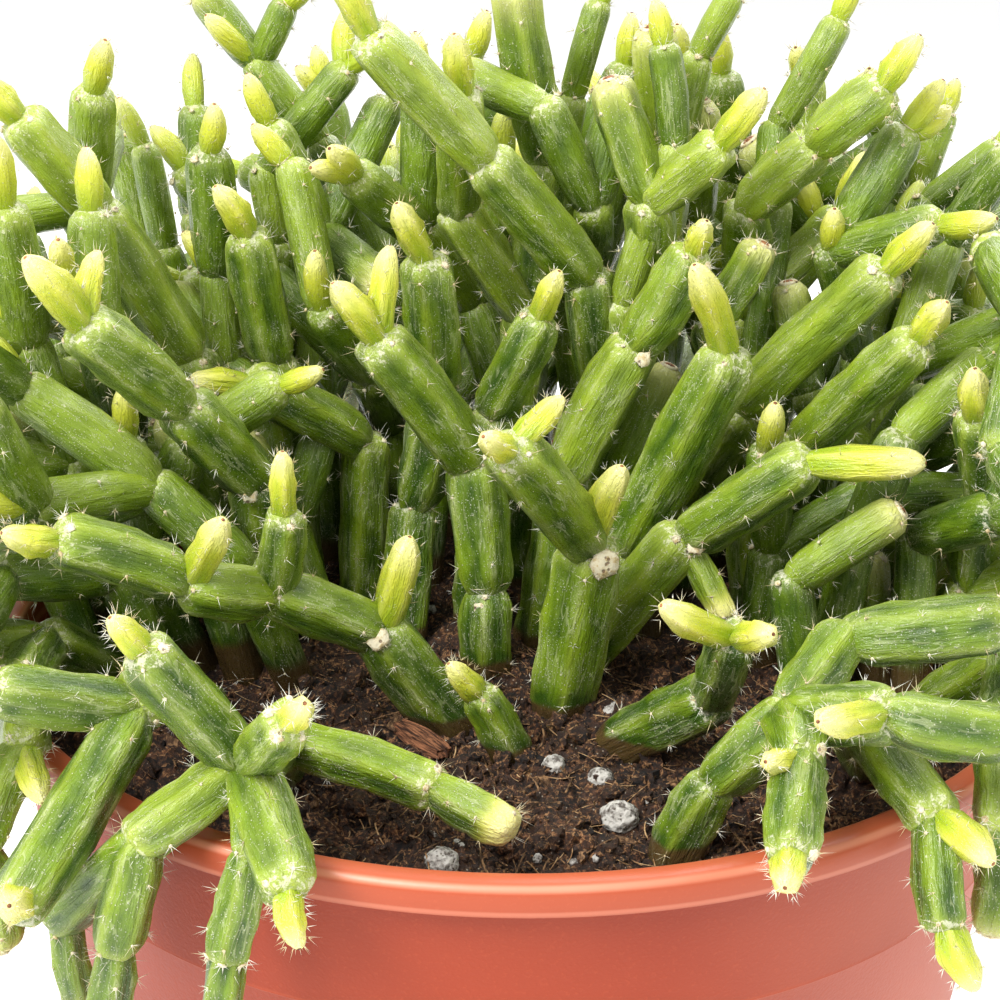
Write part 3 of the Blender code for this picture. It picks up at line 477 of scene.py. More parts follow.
    def try_directions(self, draw: random.Random, open_end: End, siblings: list[Array],
                       level: int) -> tuple[Array, float] | None:
        """Draw directions and, of the first few with room, take the freest.

        Args:
            draw: The source of chance.
            open_end: The end that the segment grows from.
            siblings: The courses of the segments that already grow from this end.
            level: How many pieces are below it.

        Returns:
            The segment's end and radius, or None.
        """
        point, heading = open_end.point, open_end.heading
        outward = np.array([point[0], point[1], 0.0])
        outward = outward / max(np.linalg.norm(outward), 1.0)
        best = None
        most_room = 0.0
        found = 0
        for _ in range(self.tries):
            length = draw.uniform(*self.lengths)
            radius = draw.uniform(*self.thicknesses) / 2
            wander = self.first_wander if level == 0 else self.wander
            jitter = drift(draw, wander)
            lift = self.early_lift
            if level >= self.early_rounds:
                over_rim = math.hypot(point[0], point[1]) > POT.rim_radius
                lift = draw.uniform(*(self.over_rim_lift if over_rim else self.late_lift))
            pull = self.outward_pull + self.outward_gain * level
            course = unit(heading + jitter + outward * pull + np.array([0, 0, lift]))
            end = point + course * length
            if course @ heading < self.least_onward or any(course @ other > self.sibling_spread for other in siblings):
                continue
            if not self.in_reach(end):
                continue
            room = self.thicket.room(point - heading * self.sink, end, radius, open_end.joint, level == 0)
            if room > most_room:
                best = (end, radius)
                most_room = room
            found += room > 0
            if found == self.choices:
                break
        return best

    def add_tip(self, draw: random.Random, open_end: End, wander: float) -> bool:
        """Give an end a young tip, if there is room for one.

        Args:
            draw: The source of chance.
            open_end: The end that it grows from.
            wander: How far its course may turn off.

        Returns:
            Whether there was room.
        """
        length = draw.uniform(*self.tip_lengths)
        radius = draw.uniform(*self.tip_thicknesses) / 2
        course = unit(open_end.heading + drift(draw, wander))
        end = open_end.point + course * length
        start = open_end.point - open_end.heading * self.sink
        if self.thicket.room(start, end, radius, open_end.joint) <= 0:
            return False
        stem = self.stems_grown[open_end.name]
        stem.pieces.append(Piece(open_end.after, tuple(end), 2 * radius, True))
        self.thicket.add(open_end.point, end, radius, open_end.joint, self.thicket.new_joint())
        return True

    def lay_stem(self, name: str, stem: Stem) -> None:
        """Take up the room of a stem whose pieces are given."""
        self.stems_grown[name] = Stem(stem.root, list(stem.pieces))
        self.plant(name, stem.root, self.root_radius(stem))
        for number, piece in enumerate(stem.pieces):
            joint = self.thicket.new_joint()
            start, end = self.piece_line(stem, number)
            self.thicket.add(start, end, piece.thickness / 2, self.joints[name, piece.after], joint)
            self.joints[name, number] = joint

    def reach_up(self, draw: random.Random, shown: list[Piece]) -> Stem:
        """Find the way of a back stem through the bush, from the soil to where it shows.

        Args:
            draw: The source of chance.
            shown: Its pieces from number 2 on.

        Returns:
            The whole stem, by the way that has the most room.
        """
        goal = np.array(shown[0].end, dtype=float)
        radius = shown[0].thickness / 2
        best, found = -1.0, None
        for _ in range(self.reach_tries):
            share = draw.uniform(*self.reach_shares)
            x, y = (part * share + draw.gauss(0, self.reach_drift) for part in goal[:2])
            if math.hypot(x, y) > self.root_reach:
                continue
            foot = self.root_joint((x, y))
            low, high = [foot + (goal - foot) * part + drift(draw, self.reach_drift) for part in self.reach_joints]
            if math.dist(foot, low) < self.reach_first:
                continue
            rooms = [self.thicket.room(start, end, radius, 0, start is foot)
                     for start, end in ((foot, low), (low, high), (high, goal))]
            score = sum(min(room, self.reach_room) for room in rooms)
            if score > best:
                best, found = score, Stem((x, y), [seg(None, *low, 2 * radius), seg(0, *high, 2 * radius), *shown])
        return found

    def grow(self) -> None:
        """Lay the front stems and grow the others, as in the solids."""
        draw = random.Random(self.seed)
        for name, stem in FRONT_STEMS.items():
            self.lay_stem(name, stem)
        taken = [stem.root for stem in FRONT_STEMS.values()]
        ends = []
        for number, root in enumerate(self.scatter_roots(draw, taken, self.stems, self.root_spacing)):
            name = f"stem_grown_{number:02d}"
            self.stems_grown[name] = Stem(root, [])
            ends.append(self.plant(name, root, self.thicknesses[1] / 2 * self.root_thickness))
        bare = []
        made = 0
        for level in range(self.rounds):
            draw.shuffle(ends)
            following = []
            for open_end in ends:
                wanted = 1 if level == 0 else draw.choice(self.branches)
                siblings: list[Array] = []
                for _ in range(wanted):
                    full = len(self.stems_grown[open_end.name].pieces) >= self.most_in_a_stem
                    if made >= self.most_pieces or full:
                        break
                    grown = self.extend(draw, open_end, level, siblings)
                    if grown is not None:
                        following.append(grown)
                        made += 1
                if not siblings and open_end.after is not None:
                    bare.append(open_end)
            ends = following
        for open_end in bare + ends:
            if draw.random() < self.tip_chance:
                self.add_tip(draw, open_end, self.tip_wander)

    def open_ends(self) -> list[tuple[End, int]]:
        """Every segment's end, with the number of pieces that grow from it."""
        ends = []
        for name, stem in self.stems_grown.items():
            for number, piece in enumerate(stem.pieces):
                if not piece.tip:
                    start, end = self.piece_line(stem, number)
                    children = sum(other.after == number for other in stem.pieces)
                    joint = self.joints[name, number]
                    ends.append((End(name, number, joint, end, unit(end - start)), children))
        return ends

    def fill_out(self) -> dict[str, Stem]:
        """Grow what the solids leave out: back stems, small ones and branches deep in the bush, and young tips.

        Returns:
            All stems by name.
        """
        draw = random.Random(self.fill_seed)
        self.thicket.clearance = self.fill_clearance
        self.dome_radius *= self.fill_reach
        self.dome_height *= self.fill_reach
        self.hang_depth = 0.0
        for name, shown in BACK_STEMS.items():
            self.lay_stem(name, self.reach_up(draw, shown))
        taken = [stem.root for stem in self.stems_grown.values()]
        for number, root in enumerate(self.scatter_roots(draw, taken, self.fill_stems, self.fill_spacing)):
            name = f"filler_{number:02d}"
            self.stems_grown[name] = Stem(root, [])
            first = self.plant(name, root, self.thicknesses[0] / 2 * self.root_thickness)
            second = self.extend(draw, first, 0, [])
            if second is not None:
                self.extend(draw, second, 1, [])
        made = 0
        for level in range(2, 2 + self.fill_rounds):
            ends = self.open_ends()
            draw.shuffle(ends)
            for open_end, children in ends:
                deep = open_end.name not in FRONT_STEMS and self.in_reach(open_end.point)
                if children < self.most_children and made < self.fill_pieces and deep:
                    stem = self.stems_grown[open_end.name]
                    siblings = [unit(np.array(piece.end) - open_end.point)
                                for piece in stem.pieces if piece.after == open_end.after]
                    made += self.extend(draw, open_end, level, siblings) is not None
        for open_end, children in self.open_ends():
            if open_end.name in FRONT_STEMS:
                continue
            if children == 0:
                self.add_tip(draw, open_end, self.tip_wander)
            if draw.random() < self.bud_chance:
                self.add_tip(draw, open_end, 2 * self.tip_wander)
        for name, shown in GAP_STEMS.items():
            self.lay_stem(name, self.reach_up(draw, shown))
        return {name: stem for name, stem in self.stems_grown.items() if stem.pieces}


class Wire:
    """A socket's output that arithmetic works on: an expression adds its Math nodes."""

    def __init__(self, shop: "ShaderShop", socket: bpy.types.NodeSocket) -> None:
        """Hold the socket and the tree that it belongs to."""
        self.shop = shop
        self.socket = socket

    def _math(self, operation: str, first: Any, second: Any) -> "Wire":
        """Add one Math node."""
        return self.shop.node("ShaderNodeMath", {"operation": operation}, {0: first, 1: second})

    def __add__(self, other: Any) -> "Wire":
        """Sum."""
        return self._math("ADD", self, other)

    __radd__ = __add__

    def __sub__(self, other: Any) -> "Wire":
        """Difference."""
        return self._math("SUBTRACT", self, other)

    def __rsub__(self, other: Any) -> "Wire":
        """Difference, from a number."""
        return self._math("SUBTRACT", other, self)

    def __mul__(self, other: Any) -> "Wire":
        """Product."""
        return self._math("MULTIPLY", self, other)

    __rmul__ = __mul__

    def step(self, low: float, high: float) -> "Wire":
        """A soft step from 0 to 1 between two limits."""
        return self.shop.node("ShaderNodeMapRange", {"interpolation_type": "SMOOTHSTEP"}, {0: self, 1: low, 2: high})


class ShaderShop:
    """One material's node tree, with a method for each thing that the finishes need."""

    def __init__(self, name: str) -> None:
        """Start a material with a plain Principled shader."""
        self.material = bpy.data.materials.new(name)
        self.material.use_nodes = True
        self.tree = self.material.node_tree
        self.shader = self.tree.nodes["Principled BSDF"]

    def node(self, kind: str, settings: dict[str, Any] | None = None,
             values: dict[int | str, Any] | None = None, output: int | str = 0) -> Wire:
        """Add any node.

        Args:
            kind: The node's type.
            settings: Its properties, set first.
            values: A number, colour or wire for each input socket by name or number.
            output: The socket that is returned.

        Returns:
            The wire from that output.
        """
        made = self.tree.nodes.new(kind)
        for name, value in (settings or {}).items():
            setattr(made, name, value)
        for name, value in (values or {}).items():
            if isinstance(value, Wire):
                self.tree.links.new(value.socket, made.inputs[name])
            else:
                made.inputs[name].default_value = value
        return Wire(self, made.outputs[output])

    def place(self) -> Wire:
        """Object coordinates, in metres."""
        return self.node("ShaderNodeTexCoord", output="Object")

    def split(self, vector: Wire) -> list[Wire]:
        """The three parts of a vector."""
        parts = self.node("ShaderNodeSeparateXYZ", None, {0: vector}).socket.node.outputs
        return [Wire(self, part) for part in parts]

    def attribute(self, name: str, output: str = "Fac") -> Wire:
        """A named attribute of the piece's mesh."""
        return self.node("ShaderNodeAttribute", {"attribute_name": name}, output=output)

    def scaled(self, vector: Wire, x: float, y: float, z: float) -> Wire:
        """A vector with each part multiplied."""
        return self.node("ShaderNodeVectorMath", {"operation": "MULTIPLY"}, {0: vector, 1: (x, y, z)})

    def noise(self, vector: Wire, scale: float, detail: float = 3.0, roughness: float = 0.55) -> Wire:
        """Soft noise between 0 and 1."""
        values = {"Vector": vector, "Scale": scale, "Detail": detail, "Roughness": roughness}
        return self.node("ShaderNodeTexNoise", None, values, "Fac")

    def cells(self, vector: Wire, scale: float) -> Wire:
        """The distance to the middle of the nearest cell."""
        return self.node("ShaderNodeTexVoronoi", None, {"Vector": vector, "Scale": scale}, "Distance")

    def threads(self, vector: Wire, scale: float, roughness: float) -> Wire:
        """Fine wandering lines, where a noise passes its middle."""
        bend = self.noise(vector, scale, 2.0, roughness) - 0.5
        return 1 - (bend * bend).step(0.00005, 0.0006)

    def mix(self, first: Any, second: Any, factor: Any) -> Wire:
        """A colour between two colours.

        Args:
            first: The colour at factor 0.
            second: The colour at factor 1.
            factor: How much of the second there is.

        Returns:
            The mixed colour.
        """
        return self.node("ShaderNodeMix", {"data_type": "RGBA"}, {0: factor, 6: first, 7: second}, 2)

    def dress(self, colour: Wire, roughness: Any, height: Wire | None = None, depth: float = 0.1,
              specular: float = 0.5) -> Material:
        """Wire the finished values to the shader.

        Args:
            colour: The base colour.
            roughness: A wire or a number.
            height: The relief of the surface, if any.
            depth: How deep the relief is, in millimetres.
            specular: How strongly it reflects.

        Returns:
            The material.
        """
        self.tree.links.new(colour.socket, self.shader.inputs["Base Color"])
        if isinstance(roughness, Wire):
            self.tree.links.new(roughness.socket, self.shader.inputs["Roughness"])
        else:
            self.shader.inputs["Roughness"].default_value = roughness
        self.shader.inputs["Specular IOR Level"].default_value = specular
        if height is not None:
            bump = self.node("ShaderNodeBump", None, {"Height": height, "Strength": 1.0, "Distance": depth * MM},
                             "Normal")
            self.tree.links.new(bump.socket, self.shader.inputs["Normal"])
        return self.material


def tint(red: int, green: int, blue: int) -> Colour:
    """A display colour from 0 to 255 as the linear colour that a shader takes."""
    parts = []
    for value in (red, green, blue):
        share = value / 255
        parts.append(share / 12.92 if share <= 0.04045 else ((share + 0.055) / 1.055) ** 2.4)
    return (parts[0], parts[1], parts[2], 1.0)


@dataclass(frozen=True)
class SkinFinish:
    """The waxy skin of the segments: deep green with painted shade, olive where light is painted on tops and crests,
    with dust, wax and wool at the ends.
    """

    deep: Colour = tint(54, 82, 18)
    middle: Colour = tint(124, 152, 28)
    # The colour of the painted light on the skin's lighter tones and rib crests.
    lit: Colour = tint(176, 190, 66)
    wax: Colour = tint(212, 218, 166)
    ending: Colour = tint(190, 204, 92)
    wool: Colour = tint(234, 230, 206)
    root: Colour = tint(84, 62, 36)
    young_base: Colour = tint(150, 174, 32)
    young: Colour = tint(208, 210, 66)
    young_top: Colour = tint(248, 240, 164)
    speck: Colour = tint(244, 244, 228)
    relief: float = 0.42

    def material(self) -> Material:
        """Build the skin's material."""
        shop = ShaderShop("stem_skin")
        skin = shop.attribute("skin", "Vector")
        rib, youth, along = shop.split(shop.attribute("mark", "Vector"))
        # The tone attribute carries each piece's random tone and its stain at the soil, with painted light and shade:
        # lighter upper sides, crown and front stems, darker shaded stems and fillers.
        tone = shop.attribute("tone")
        mature = 1 - youth.step(0.0, 0.5)
        broad = shop.noise(shop.scaled(skin, 1.0, 1.0, 0.5), 0.42, 2.0)
        streaks = shop.noise(shop.scaled(skin, 1.5, 1.5, 0.2), 1.0, 3.0, 0.65)
        dust = shop.noise(skin, 5.0, 2.0, 0.75)
        patch = shop.noise(skin, 0.26, 1.0)
        crest = rib.step(0.45, 1.0)
        furrow = 1 - rib.step(0.0, 0.6)
        shade = tone * 0.75 + broad.step(0.30, 0.72) * 0.55 + streaks.step(0.35, 0.65) * 0.16 - 0.06
        # Painted shade: the furrows between the ribs are made darker.
        shade = shade - 0.34 * furrow
        colour = shop.mix(self.deep, self.middle, shade)
        # Painted light: the lit colour goes on the lighter tones, and as a painted highlight along the rib crests.
        colour = shop.mix(colour, self.lit, tone.step(0.35, 1.0) * (0.20 + 0.45 * broad) + crest * 0.26)
        veil = patch.step(0.36, 0.62) * (0.25 + 0.75 * crest) * streaks.step(0.40, 0.66) * mature
        colour = shop.mix(colour, self.wax, veil * (0.12 + 0.46 * dust.step(0.44, 0.62)))
        lines = shop.threads(shop.scaled(skin, 0.8, 0.8, 0.12), 1.0, 0.5)
        colour = shop.mix(colour, self.wax, lines * patch.step(0.36, 0.58) * 0.24 * mature)
        ending = along.step(0.84, 1.0) * 0.55 + (1 - along.step(0.0, 0.10)) * 0.25
        colour = shop.mix(colour, self.ending, ending * mature * tone.step(0.0, 0.5))
        # On the young tips too, painted shade darkens the furrows and a painted highlight lightens the crests.
        fresh = shop.mix(self.young_base, self.young, along.step(0.10, 0.7) * 0.8 + broad * 0.35 - 0.30 * furrow)
        fresh = shop.mix(fresh, self.young_top, along.step(0.60, 1.0) * 0.75 + crest * 0.15)
        colour = shop.mix(colour, fresh, youth.step(0.05, 0.6))
        wool = shop.noise(skin, 1.3, 3.0, 0.75) + along.step(0.84, 1.0) * 0.17 + (1 - along.step(0.0, 0.12)) * 0.10
        colour = shop.mix(colour, self.wool, wool.step(0.64, 0.74) * (0.16 + 0.36 * mature))
        fine = (1 - shop.cells(skin, 3.4).step(0.15, 0.27)) * patch.step(0.34, 0.56)
        dots = (1 - shop.cells(skin, 1.5).step(0.07, 0.13)) * broad.step(0.34, 0.52)
        specks = fine * 0.65 + dots
        colour = shop.mix(colour, self.speck, specks * (0.40 + 0.25 * mature))
        colour = shop.mix(colour, self.root, (1 - tone.step(-0.5, -0.2)) * (0.6 + 0.6 * dust))
        roughness = 0.22 + 0.32 * veil + 0.12 * dust
        height = streaks * 0.9 + broad * 0.6 + lines * 0.10 + dust * 0.16 + specks * 0.18
        return shop.dress(colour, roughness, height, self.relief)


@dataclass(frozen=True)
class CorkFinish:
    """The dry, corky rings and the felted scars where segments join or end."""

    pale: Colour = tint(226, 216, 186)
    straw: Colour = tint(196, 174, 126)
    brown: Colour = tint(98, 60, 34)

    def material(self) -> Material:
        """Build the cork's material."""
        shop = ShaderShop("corky_joint")
        place = shop.place()
        grain = shop.noise(place, 1500, 4.0, 0.65)
        pits = 1 - shop.cells(place, 1250).step(0.16, 0.30)
        colour = shop.mix(self.pale, self.straw, grain.step(0.46, 0.64))
        colour = shop.mix(colour, self.brown, pits * 0.75 + grain.step(0.62, 0.74) * 0.4)
        return shop.dress(colour, 0.80 + 0.15 * grain, grain - pits * 0.6, 0.16)


@dataclass(frozen=True)
class SpotFinish:
    """The small red-brown spots at the tips' ends and in the middle of the scars."""

    dark: Colour = tint(96, 52, 26)
    light: Colour = tint(168, 112, 66)

    def material(self) -> Material:
        """Build the spots' material."""
        shop = ShaderShop("brown_spot")
        grain = shop.noise(shop.place(), 2200, 2.0)
        return shop.dress(shop.mix(self.dark, self.light, grain.step(0.35, 0.65)), 0.6 + 0.2 * grain, grain, 0.05)


@dataclass(frozen=True)
class BristleFinish:
    """The fine bristles, white to straw."""

    white: Colour = tint(245, 243, 230)
    straw: Colour = tint(222, 205, 160)

    def material(self) -> Material:
        """Build the bristles' material."""
        shop = ShaderShop("bristle")
        patch = shop.noise(shop.place(), 260, 2.0)
        return shop.dress(shop.mix(self.white, self.straw, patch.step(0.42, 0.62)), 0.45 + 0.1 * patch)


@dataclass(frozen=True)
class SoilFinish:
    """Damp potting mix: near-black crumbs with brown and tan ones among them, and painted shade that makes the bed
    darker in its hollows and lighter on its raised crumbs.
    """

    black: Colour = tint(16, 10, 8)
    dark: Colour = tint(54, 33, 20)
    brown: Colour = tint(118, 74, 44)
    tan: Colour = tint(192, 144, 96)
    glint: Colour = tint(226, 212, 188)
    relief: float = 0.9

    def material(self) -> Material:
        """Build the soil's material."""
        shop = ShaderShop("potting_mix")
        place = shop.place()
        # The tone attribute is painted shade on the bed, lighter where it is raised and darker in its hollows, and a
        # random tone on the loose crumbs.
        relief_shade_and_tone = shop.attribute("tone").step(0.15, 0.85)
        clumps = shop.noise(place, 420, 3.0)
        grain = shop.noise(place, 1500, 5.0, 0.75)
        colour = shop.mix(self.black, self.dark, clumps.step(0.38, 0.58) * 0.7 + relief_shade_and_tone * 0.3)
        colour = shop.mix(colour, self.brown, grain.step(0.46, 0.60) * (0.20 + 0.65 * relief_shade_and_tone))
        colour = shop.mix(colour, self.tan, grain.step(0.56, 0.68) * (0.20 + 0.60 * relief_shade_and_tone))
        threads = shop.threads(place, 560, 0.55)
        colour = shop.mix(colour, self.tan, threads * grain.step(0.44, 0.56) * 0.55)
        glints = 1 - shop.cells(place, 1300).step(0.08, 0.17)
        colour = shop.mix(colour, self.glint, glints * clumps.step(0.46, 0.56) * 0.6)
        damp = clumps.step(0.50, 0.62)
        return shop.dress(colour, 0.86 - 0.44 * damp, grain * 0.6 + clumps * 0.5 + threads * 0.1, self.relief)


@dataclass(frozen=True)
class FibreFinish:
    """Bark, fibres and straw in the mix, with a grain."""

    dark: Colour = tint(66, 46, 32)
    light: Colour = tint(156, 120, 84)
    name: str = "bark_grain"
    along: bool = False

    def material(self) -> Material:
        """Build the fibres' material."""
        shop = ShaderShop(self.name)
        if self.along:
            grain = shop.noise(shop.scaled(shop.attribute("skin", "Vector"), 0.35, 3.2, 3.2), 1.0, 4.0, 0.7)
        else:
            grain = shop.noise(shop.scaled(shop.place(), 2.2, 0.7, 2.2), 900, 4.0, 0.6)
        colour = shop.mix(self.dark, self.light, grain.step(0.38, 0.66))
        return shop.dress(colour, 0.85, grain, 0.4, specular=0.3)


@dataclass(frozen=True)
class PerliteFinish:
    """Rough white foamed grains, with grey pits and dirt."""

    white: Colour = tint(186, 182, 174)
    grey: Colour = tint(100, 94, 84)
    dirt: Colour = tint(54, 40, 30)

    def material(self) -> Material:
        """Build the perlite's material."""
        shop = ShaderShop("perlite_foam")
        place = shop.place()
        pits = shop.cells(place, 1900)
        dirt = shop.noise(place, 700, 4.0, 0.65)
        colour = shop.mix(self.grey, self.white, pits.step(0.10, 0.34))
        colour = shop.mix(colour, self.dirt, dirt.step(0.46, 0.62) * 0.85)
        return shop.dress(colour, 0.9, pits, 0.25)


@dataclass(frozen=True)
class PlasticFinish:
    """Moulded terracotta-coloured plastic: a faint stipple on the body and a smoother lip, painted lighter with
    painted highlight lines, and painted light on the right side.
    """

    body: Colour = tint(145, 49, 19)
    worn: Colour = tint(174, 76, 44)
    # The lighter colour painted on the lip as light, most on its top face.
    lip: Colour = tint(196, 100, 66)
    # The colour of the painted light on the pot's right side.
    mottle_and_side_light: Colour = tint(206, 122, 98)
    # The colour of the painted highlight lines on the lip.
    edge: Colour = tint(246, 176, 146)
    lip_foot: Pair = (101.5, 102.1)
    lip_foot_line: Pair = (102.25, 102.5)
    lip_top: Pair = (104.1, 104.6)
    lip_top_line: Pair = (104.75, 104.92)
    side_light_reach: Pair = (12.0, 55.0)
    line_height: float = 87.5

    def material(self) -> Material:
        """Build the plastic's material."""
        shop = ShaderShop("pot_plastic")
        place = shop.place()
        across, height = [part * (1 / MM) for part in shop.split(place)[::2]]
        lip = height.step(*self.lip_foot)
        stipple = shop.noise(place, 2600, 2.0, 0.5)
        # This noise mottles the body and varies the painted side light and the painted highlight.
        mottle_and_side_light = shop.noise(place, 45, 3.0)
        colour = shop.mix(self.body, self.worn, mottle_and_side_light.step(0.36, 0.66) * 0.16 + stipple.step(0.56, 0.72) * 0.24)
        # Painted light: the pot's right side is made paler.
        painted_side_light = across.step(*self.side_light_reach) * (0.36 + 0.3 * mottle_and_side_light)
        colour = shop.mix(colour, self.mottle_and_side_light, painted_side_light)
        # Painted light: the lip is made lighter, and its top face more.
        top = height.step(*self.lip_top)
        colour = shop.mix(colour, self.lip, lip * 0.42 + top * 0.25)
        # Painted highlights: a bright line along the lip's top edge and a fainter one at its foot.
        top_highlight = top - height.step(*self.lip_top_line)
        foot = lip - height.step(*self.lip_foot_line)
        colour = shop.mix(colour, self.edge, top_highlight * (0.15 + 0.5 * mottle_and_side_light) + foot * 0.2)
        seam = height - self.line_height
        light_line = 1 - (seam * seam).step(0.01, 0.10)
        colour = shop.mix(colour, self.worn, light_line * 0.4)
        roughness = 0.44 + 0.10 * stipple + 0.06 * mottle_and_side_light - 0.16 * lip
        scratches = shop.noise(shop.scaled(place, 1.0, 1.0, 6.0), 420, 2.0)
        relief = stipple * (1 - 0.8 * lip) + 0.15 * scratches
        return shop.dress(colour, roughness, relief, 0.06, specular=0.36)


@dataclass(frozen=True)
class FloorFinish:
    """The plain pale floor."""

    pale: Colour = tint(247, 247, 246)
    shade: Colour = tint(243, 243, 242)

    def material(self) -> Material:
        """Build the floor's material."""
        shop = ShaderShop("pale_floor")
        return shop.dress(shop.mix(self.pale, self.shade, shop.noise(shop.place(), 3.0)), 0.9)


class Bench:
    """The modelling bench: primitives shaped in edit mode."""

    @staticmethod
    def begin(operator: Callable[..., Any], **values: Any) -> Object:
        """Add a primitive with nothing else selected.

        Args:
            operator: The operator that adds it.
            values: The operator's settings.

        Returns:
            The new object, with its place applied.
        """
        bpy.ops.object.select_all(action="DESELECT")
        operator(**values)
        made = bpy.context.active_object
        bpy.ops.object.transform_apply(location=True, rotation=True, scale=True)
        return made

    @staticmethod
    def edit(made: Object, action: str = "SELECT") -> None:
        """Open an object for editing with all or nothing selected."""
        bpy.context.view_layer.objects.active = made
        bpy.ops.object.mode_set(mode="EDIT")
        bpy.ops.mesh.select_mode(type="VERT")
        bpy.ops.mesh.select_all(action=action)

    @staticmethod
    def fan() -> None:
        """Close the selected rim with a fan."""
        bpy.ops.mesh.edge_face_add()
        bpy.ops.mesh.poke()

    @staticmethod
    def close() -> None:
        """Turn the faces outwards and leave edit mode."""
        bpy.ops.mesh.select_all(action="SELECT")
        bpy.ops.mesh.normals_make_consistent(inside=False)
        bpy.ops.object.mode_set(mode="OBJECT")

    @staticmethod
    def smooth(made: Object, degrees: float) -> None:
        """Shade an object smooth, but for its edges above an angle."""
        bpy.ops.object.select_all(action="DESELECT")
        made.select_set(True)
        bpy.context.view_layer.objects.active = made
        bpy.ops.object.shade_smooth_by_angle(angle=math.radians(degrees))

    @classmethod
    def ball(cls, subdivisions: int) -> Object:
        """Add a sphere of triangles with radius 1."""
        return cls.begin(bpy.ops.mesh.primitive_ico_sphere_add, subdivisions=subdivisions, radius=1.0)

    @classmethod
    def loft(cls, name: str, stations: Sequence[Pair], sides: int) -> Object:
        """Model a closed round shape by extruding and resizing a circle, with a fan at each end.

        Args:
            name: The object's name.
            stations: The height and radius of each ring.
            sides: The number of sides.

        Returns:
            The object.
        """
        height, radius = stations[0]
        made = cls.begin(bpy.ops.mesh.primitive_circle_add, vertices=sides, radius=radius, location=(0, 0, height))
        made.name = name
        cls.edit(made)
        for next_height, next_radius in stations[1:]:
            bpy.ops.mesh.extrude_region_move(TRANSFORM_OT_translate={"value": (0, 0, next_height - height)})
            grow = next_radius / radius
            bpy.ops.transform.resize(value=(grow, grow, 1), center_override=(0, 0, next_height))
            height, radius = next_height, next_radius
        cls.fan()
        shape = bmesh.from_edit_mesh(made.data)
        shape.verts.ensure_lookup_table()
        first_ring = {vert.index for vert in list(shape.verts)[:sides]}
        for vert in shape.verts:
            vert.select_set(vert.index in first_ring)
        shape.select_flush_mode()
        bmesh.update_edit_mesh(made.data)
        cls.fan()
        cls.close()
        return made


def settle(made: Object, node: str | None = None) -> None:
    """Let a piece ride, in place of a solid if it has one."""
    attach(made, "root")
    if node is not None:
        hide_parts(node)
    log.info("%s: %d faces", made.name, len(made.data.polygons))


def linked(name: str, data: bpy.types.ID) -> Object:
    """A new object in the scene."""
    made = bpy.data.objects.new(name, data)
    bpy.context.scene.collection.objects.link(made)
    return made


@dataclass
class Template:
    """A small mesh that is modelled once, ready to be copied into a piece."""

    coords: Array
    faces: list[tuple[int, ...]]

    @classmethod
    def take(cls, made: Object) -> "Template":
        """Read an object's mesh and remove the object."""
        coords = np.empty(3 * len(made.data.vertices))
        made.data.vertices.foreach_get("co", coords)
        faces = [tuple(face.vertices) for face in made.data.polygons]
        bpy.data.objects.remove(made, do_unlink=True)
        return cls(coords.reshape(-1, 3), faces)


@dataclass
class Bundle:
    """Copies of templates gathered into one piece, in millimetres."""

    name: str
    coords: list[Array] = field(default_factory=list)
    faces: list[tuple[int, ...]] = field(default_factory=list)
    slots: list[int] = field(default_factory=list)
    skin: list[Array] = field(default_factory=list)
    mark: list[Array] = field(default_factory=list)
    tone: list[Array] = field(default_factory=list)
    count: int = 0

    def add(self, template: Template, coords: Array, slot: int = 0, skin: Array | None = None,
            mark: Array | None = None, tone: float | Array = 0.5) -> None:
        """Add one copy.

        Args:
            template: What is copied.
            coords: Where the copy's vertices lie.
            slot: The number of its finish.
            skin: Each vertex's place on its own segment, which the skin's pattern follows.
            mark: Each vertex's rib, youth and place along the segment.
            tone: How light the copy is.
        """
        size = len(coords)
        self.coords.append(coords)
        self.faces += [tuple(index + self.count for index in face) for face in template.faces]
        self.slots += [slot] * len(template.faces)
        self.skin.append(coords if skin is None else skin)
        self.mark.append(np.zeros((size, 3)) if mark is None else mark)
        self.tone.append(np.full(size, tone))
        self.count += size

    def make(self, finishes: list[Material], smooth: bool = True) -> Object:
        """Make the piece's mesh and object.

        Args:
            finishes: The materials, in the order of their numbers.
            smooth: Whether it is shaded smooth.

        Returns:
            The object, at the origin.
        """
        mesh = bpy.data.meshes.new(self.name)
        mesh.from_pydata(np.vstack(self.coords) * MM, [], self.faces)
        for finish in finishes:
            mesh.materials.append(finish)
        mesh.polygons.foreach_set("material_index", self.slots)
        mesh.polygons.foreach_set("use_smooth", [smooth] * len(self.faces))
        for name, rows in (("skin", self.skin), ("mark", self.mark)):
            mesh.attributes.new(name, "FLOAT_VECTOR", "POINT").data.foreach_set("vector", np.vstack(rows).ravel())
        mesh.attributes.new("tone", "FLOAT", "POINT").data.foreach_set("value", np.concatenate(self.tone))
        mesh.update()
        return linked(self.name, mesh)


class Finish(Enum):
    """The numbers of the finishes on a stem."""

    SKIN = 0
    CORK = 1
    BRISTLE = 2
    SPOT = 3


def frame_of(heading: Array, turn: float) -> Array:
    """Axes for a copy: rows x, y and z, with z along the heading and x turned round it."""
    side = unit(np.cross(heading, (0.0, 0.0, 1.0) if abs(heading[2]) < 0.9 else (1.0, 0.0, 0.0)))
    other = np.cross(heading, side)
    return np.array([side * math.cos(turn) + other * math.sin(turn),
                     other * math.cos(turn) - side * math.sin(turn), heading])


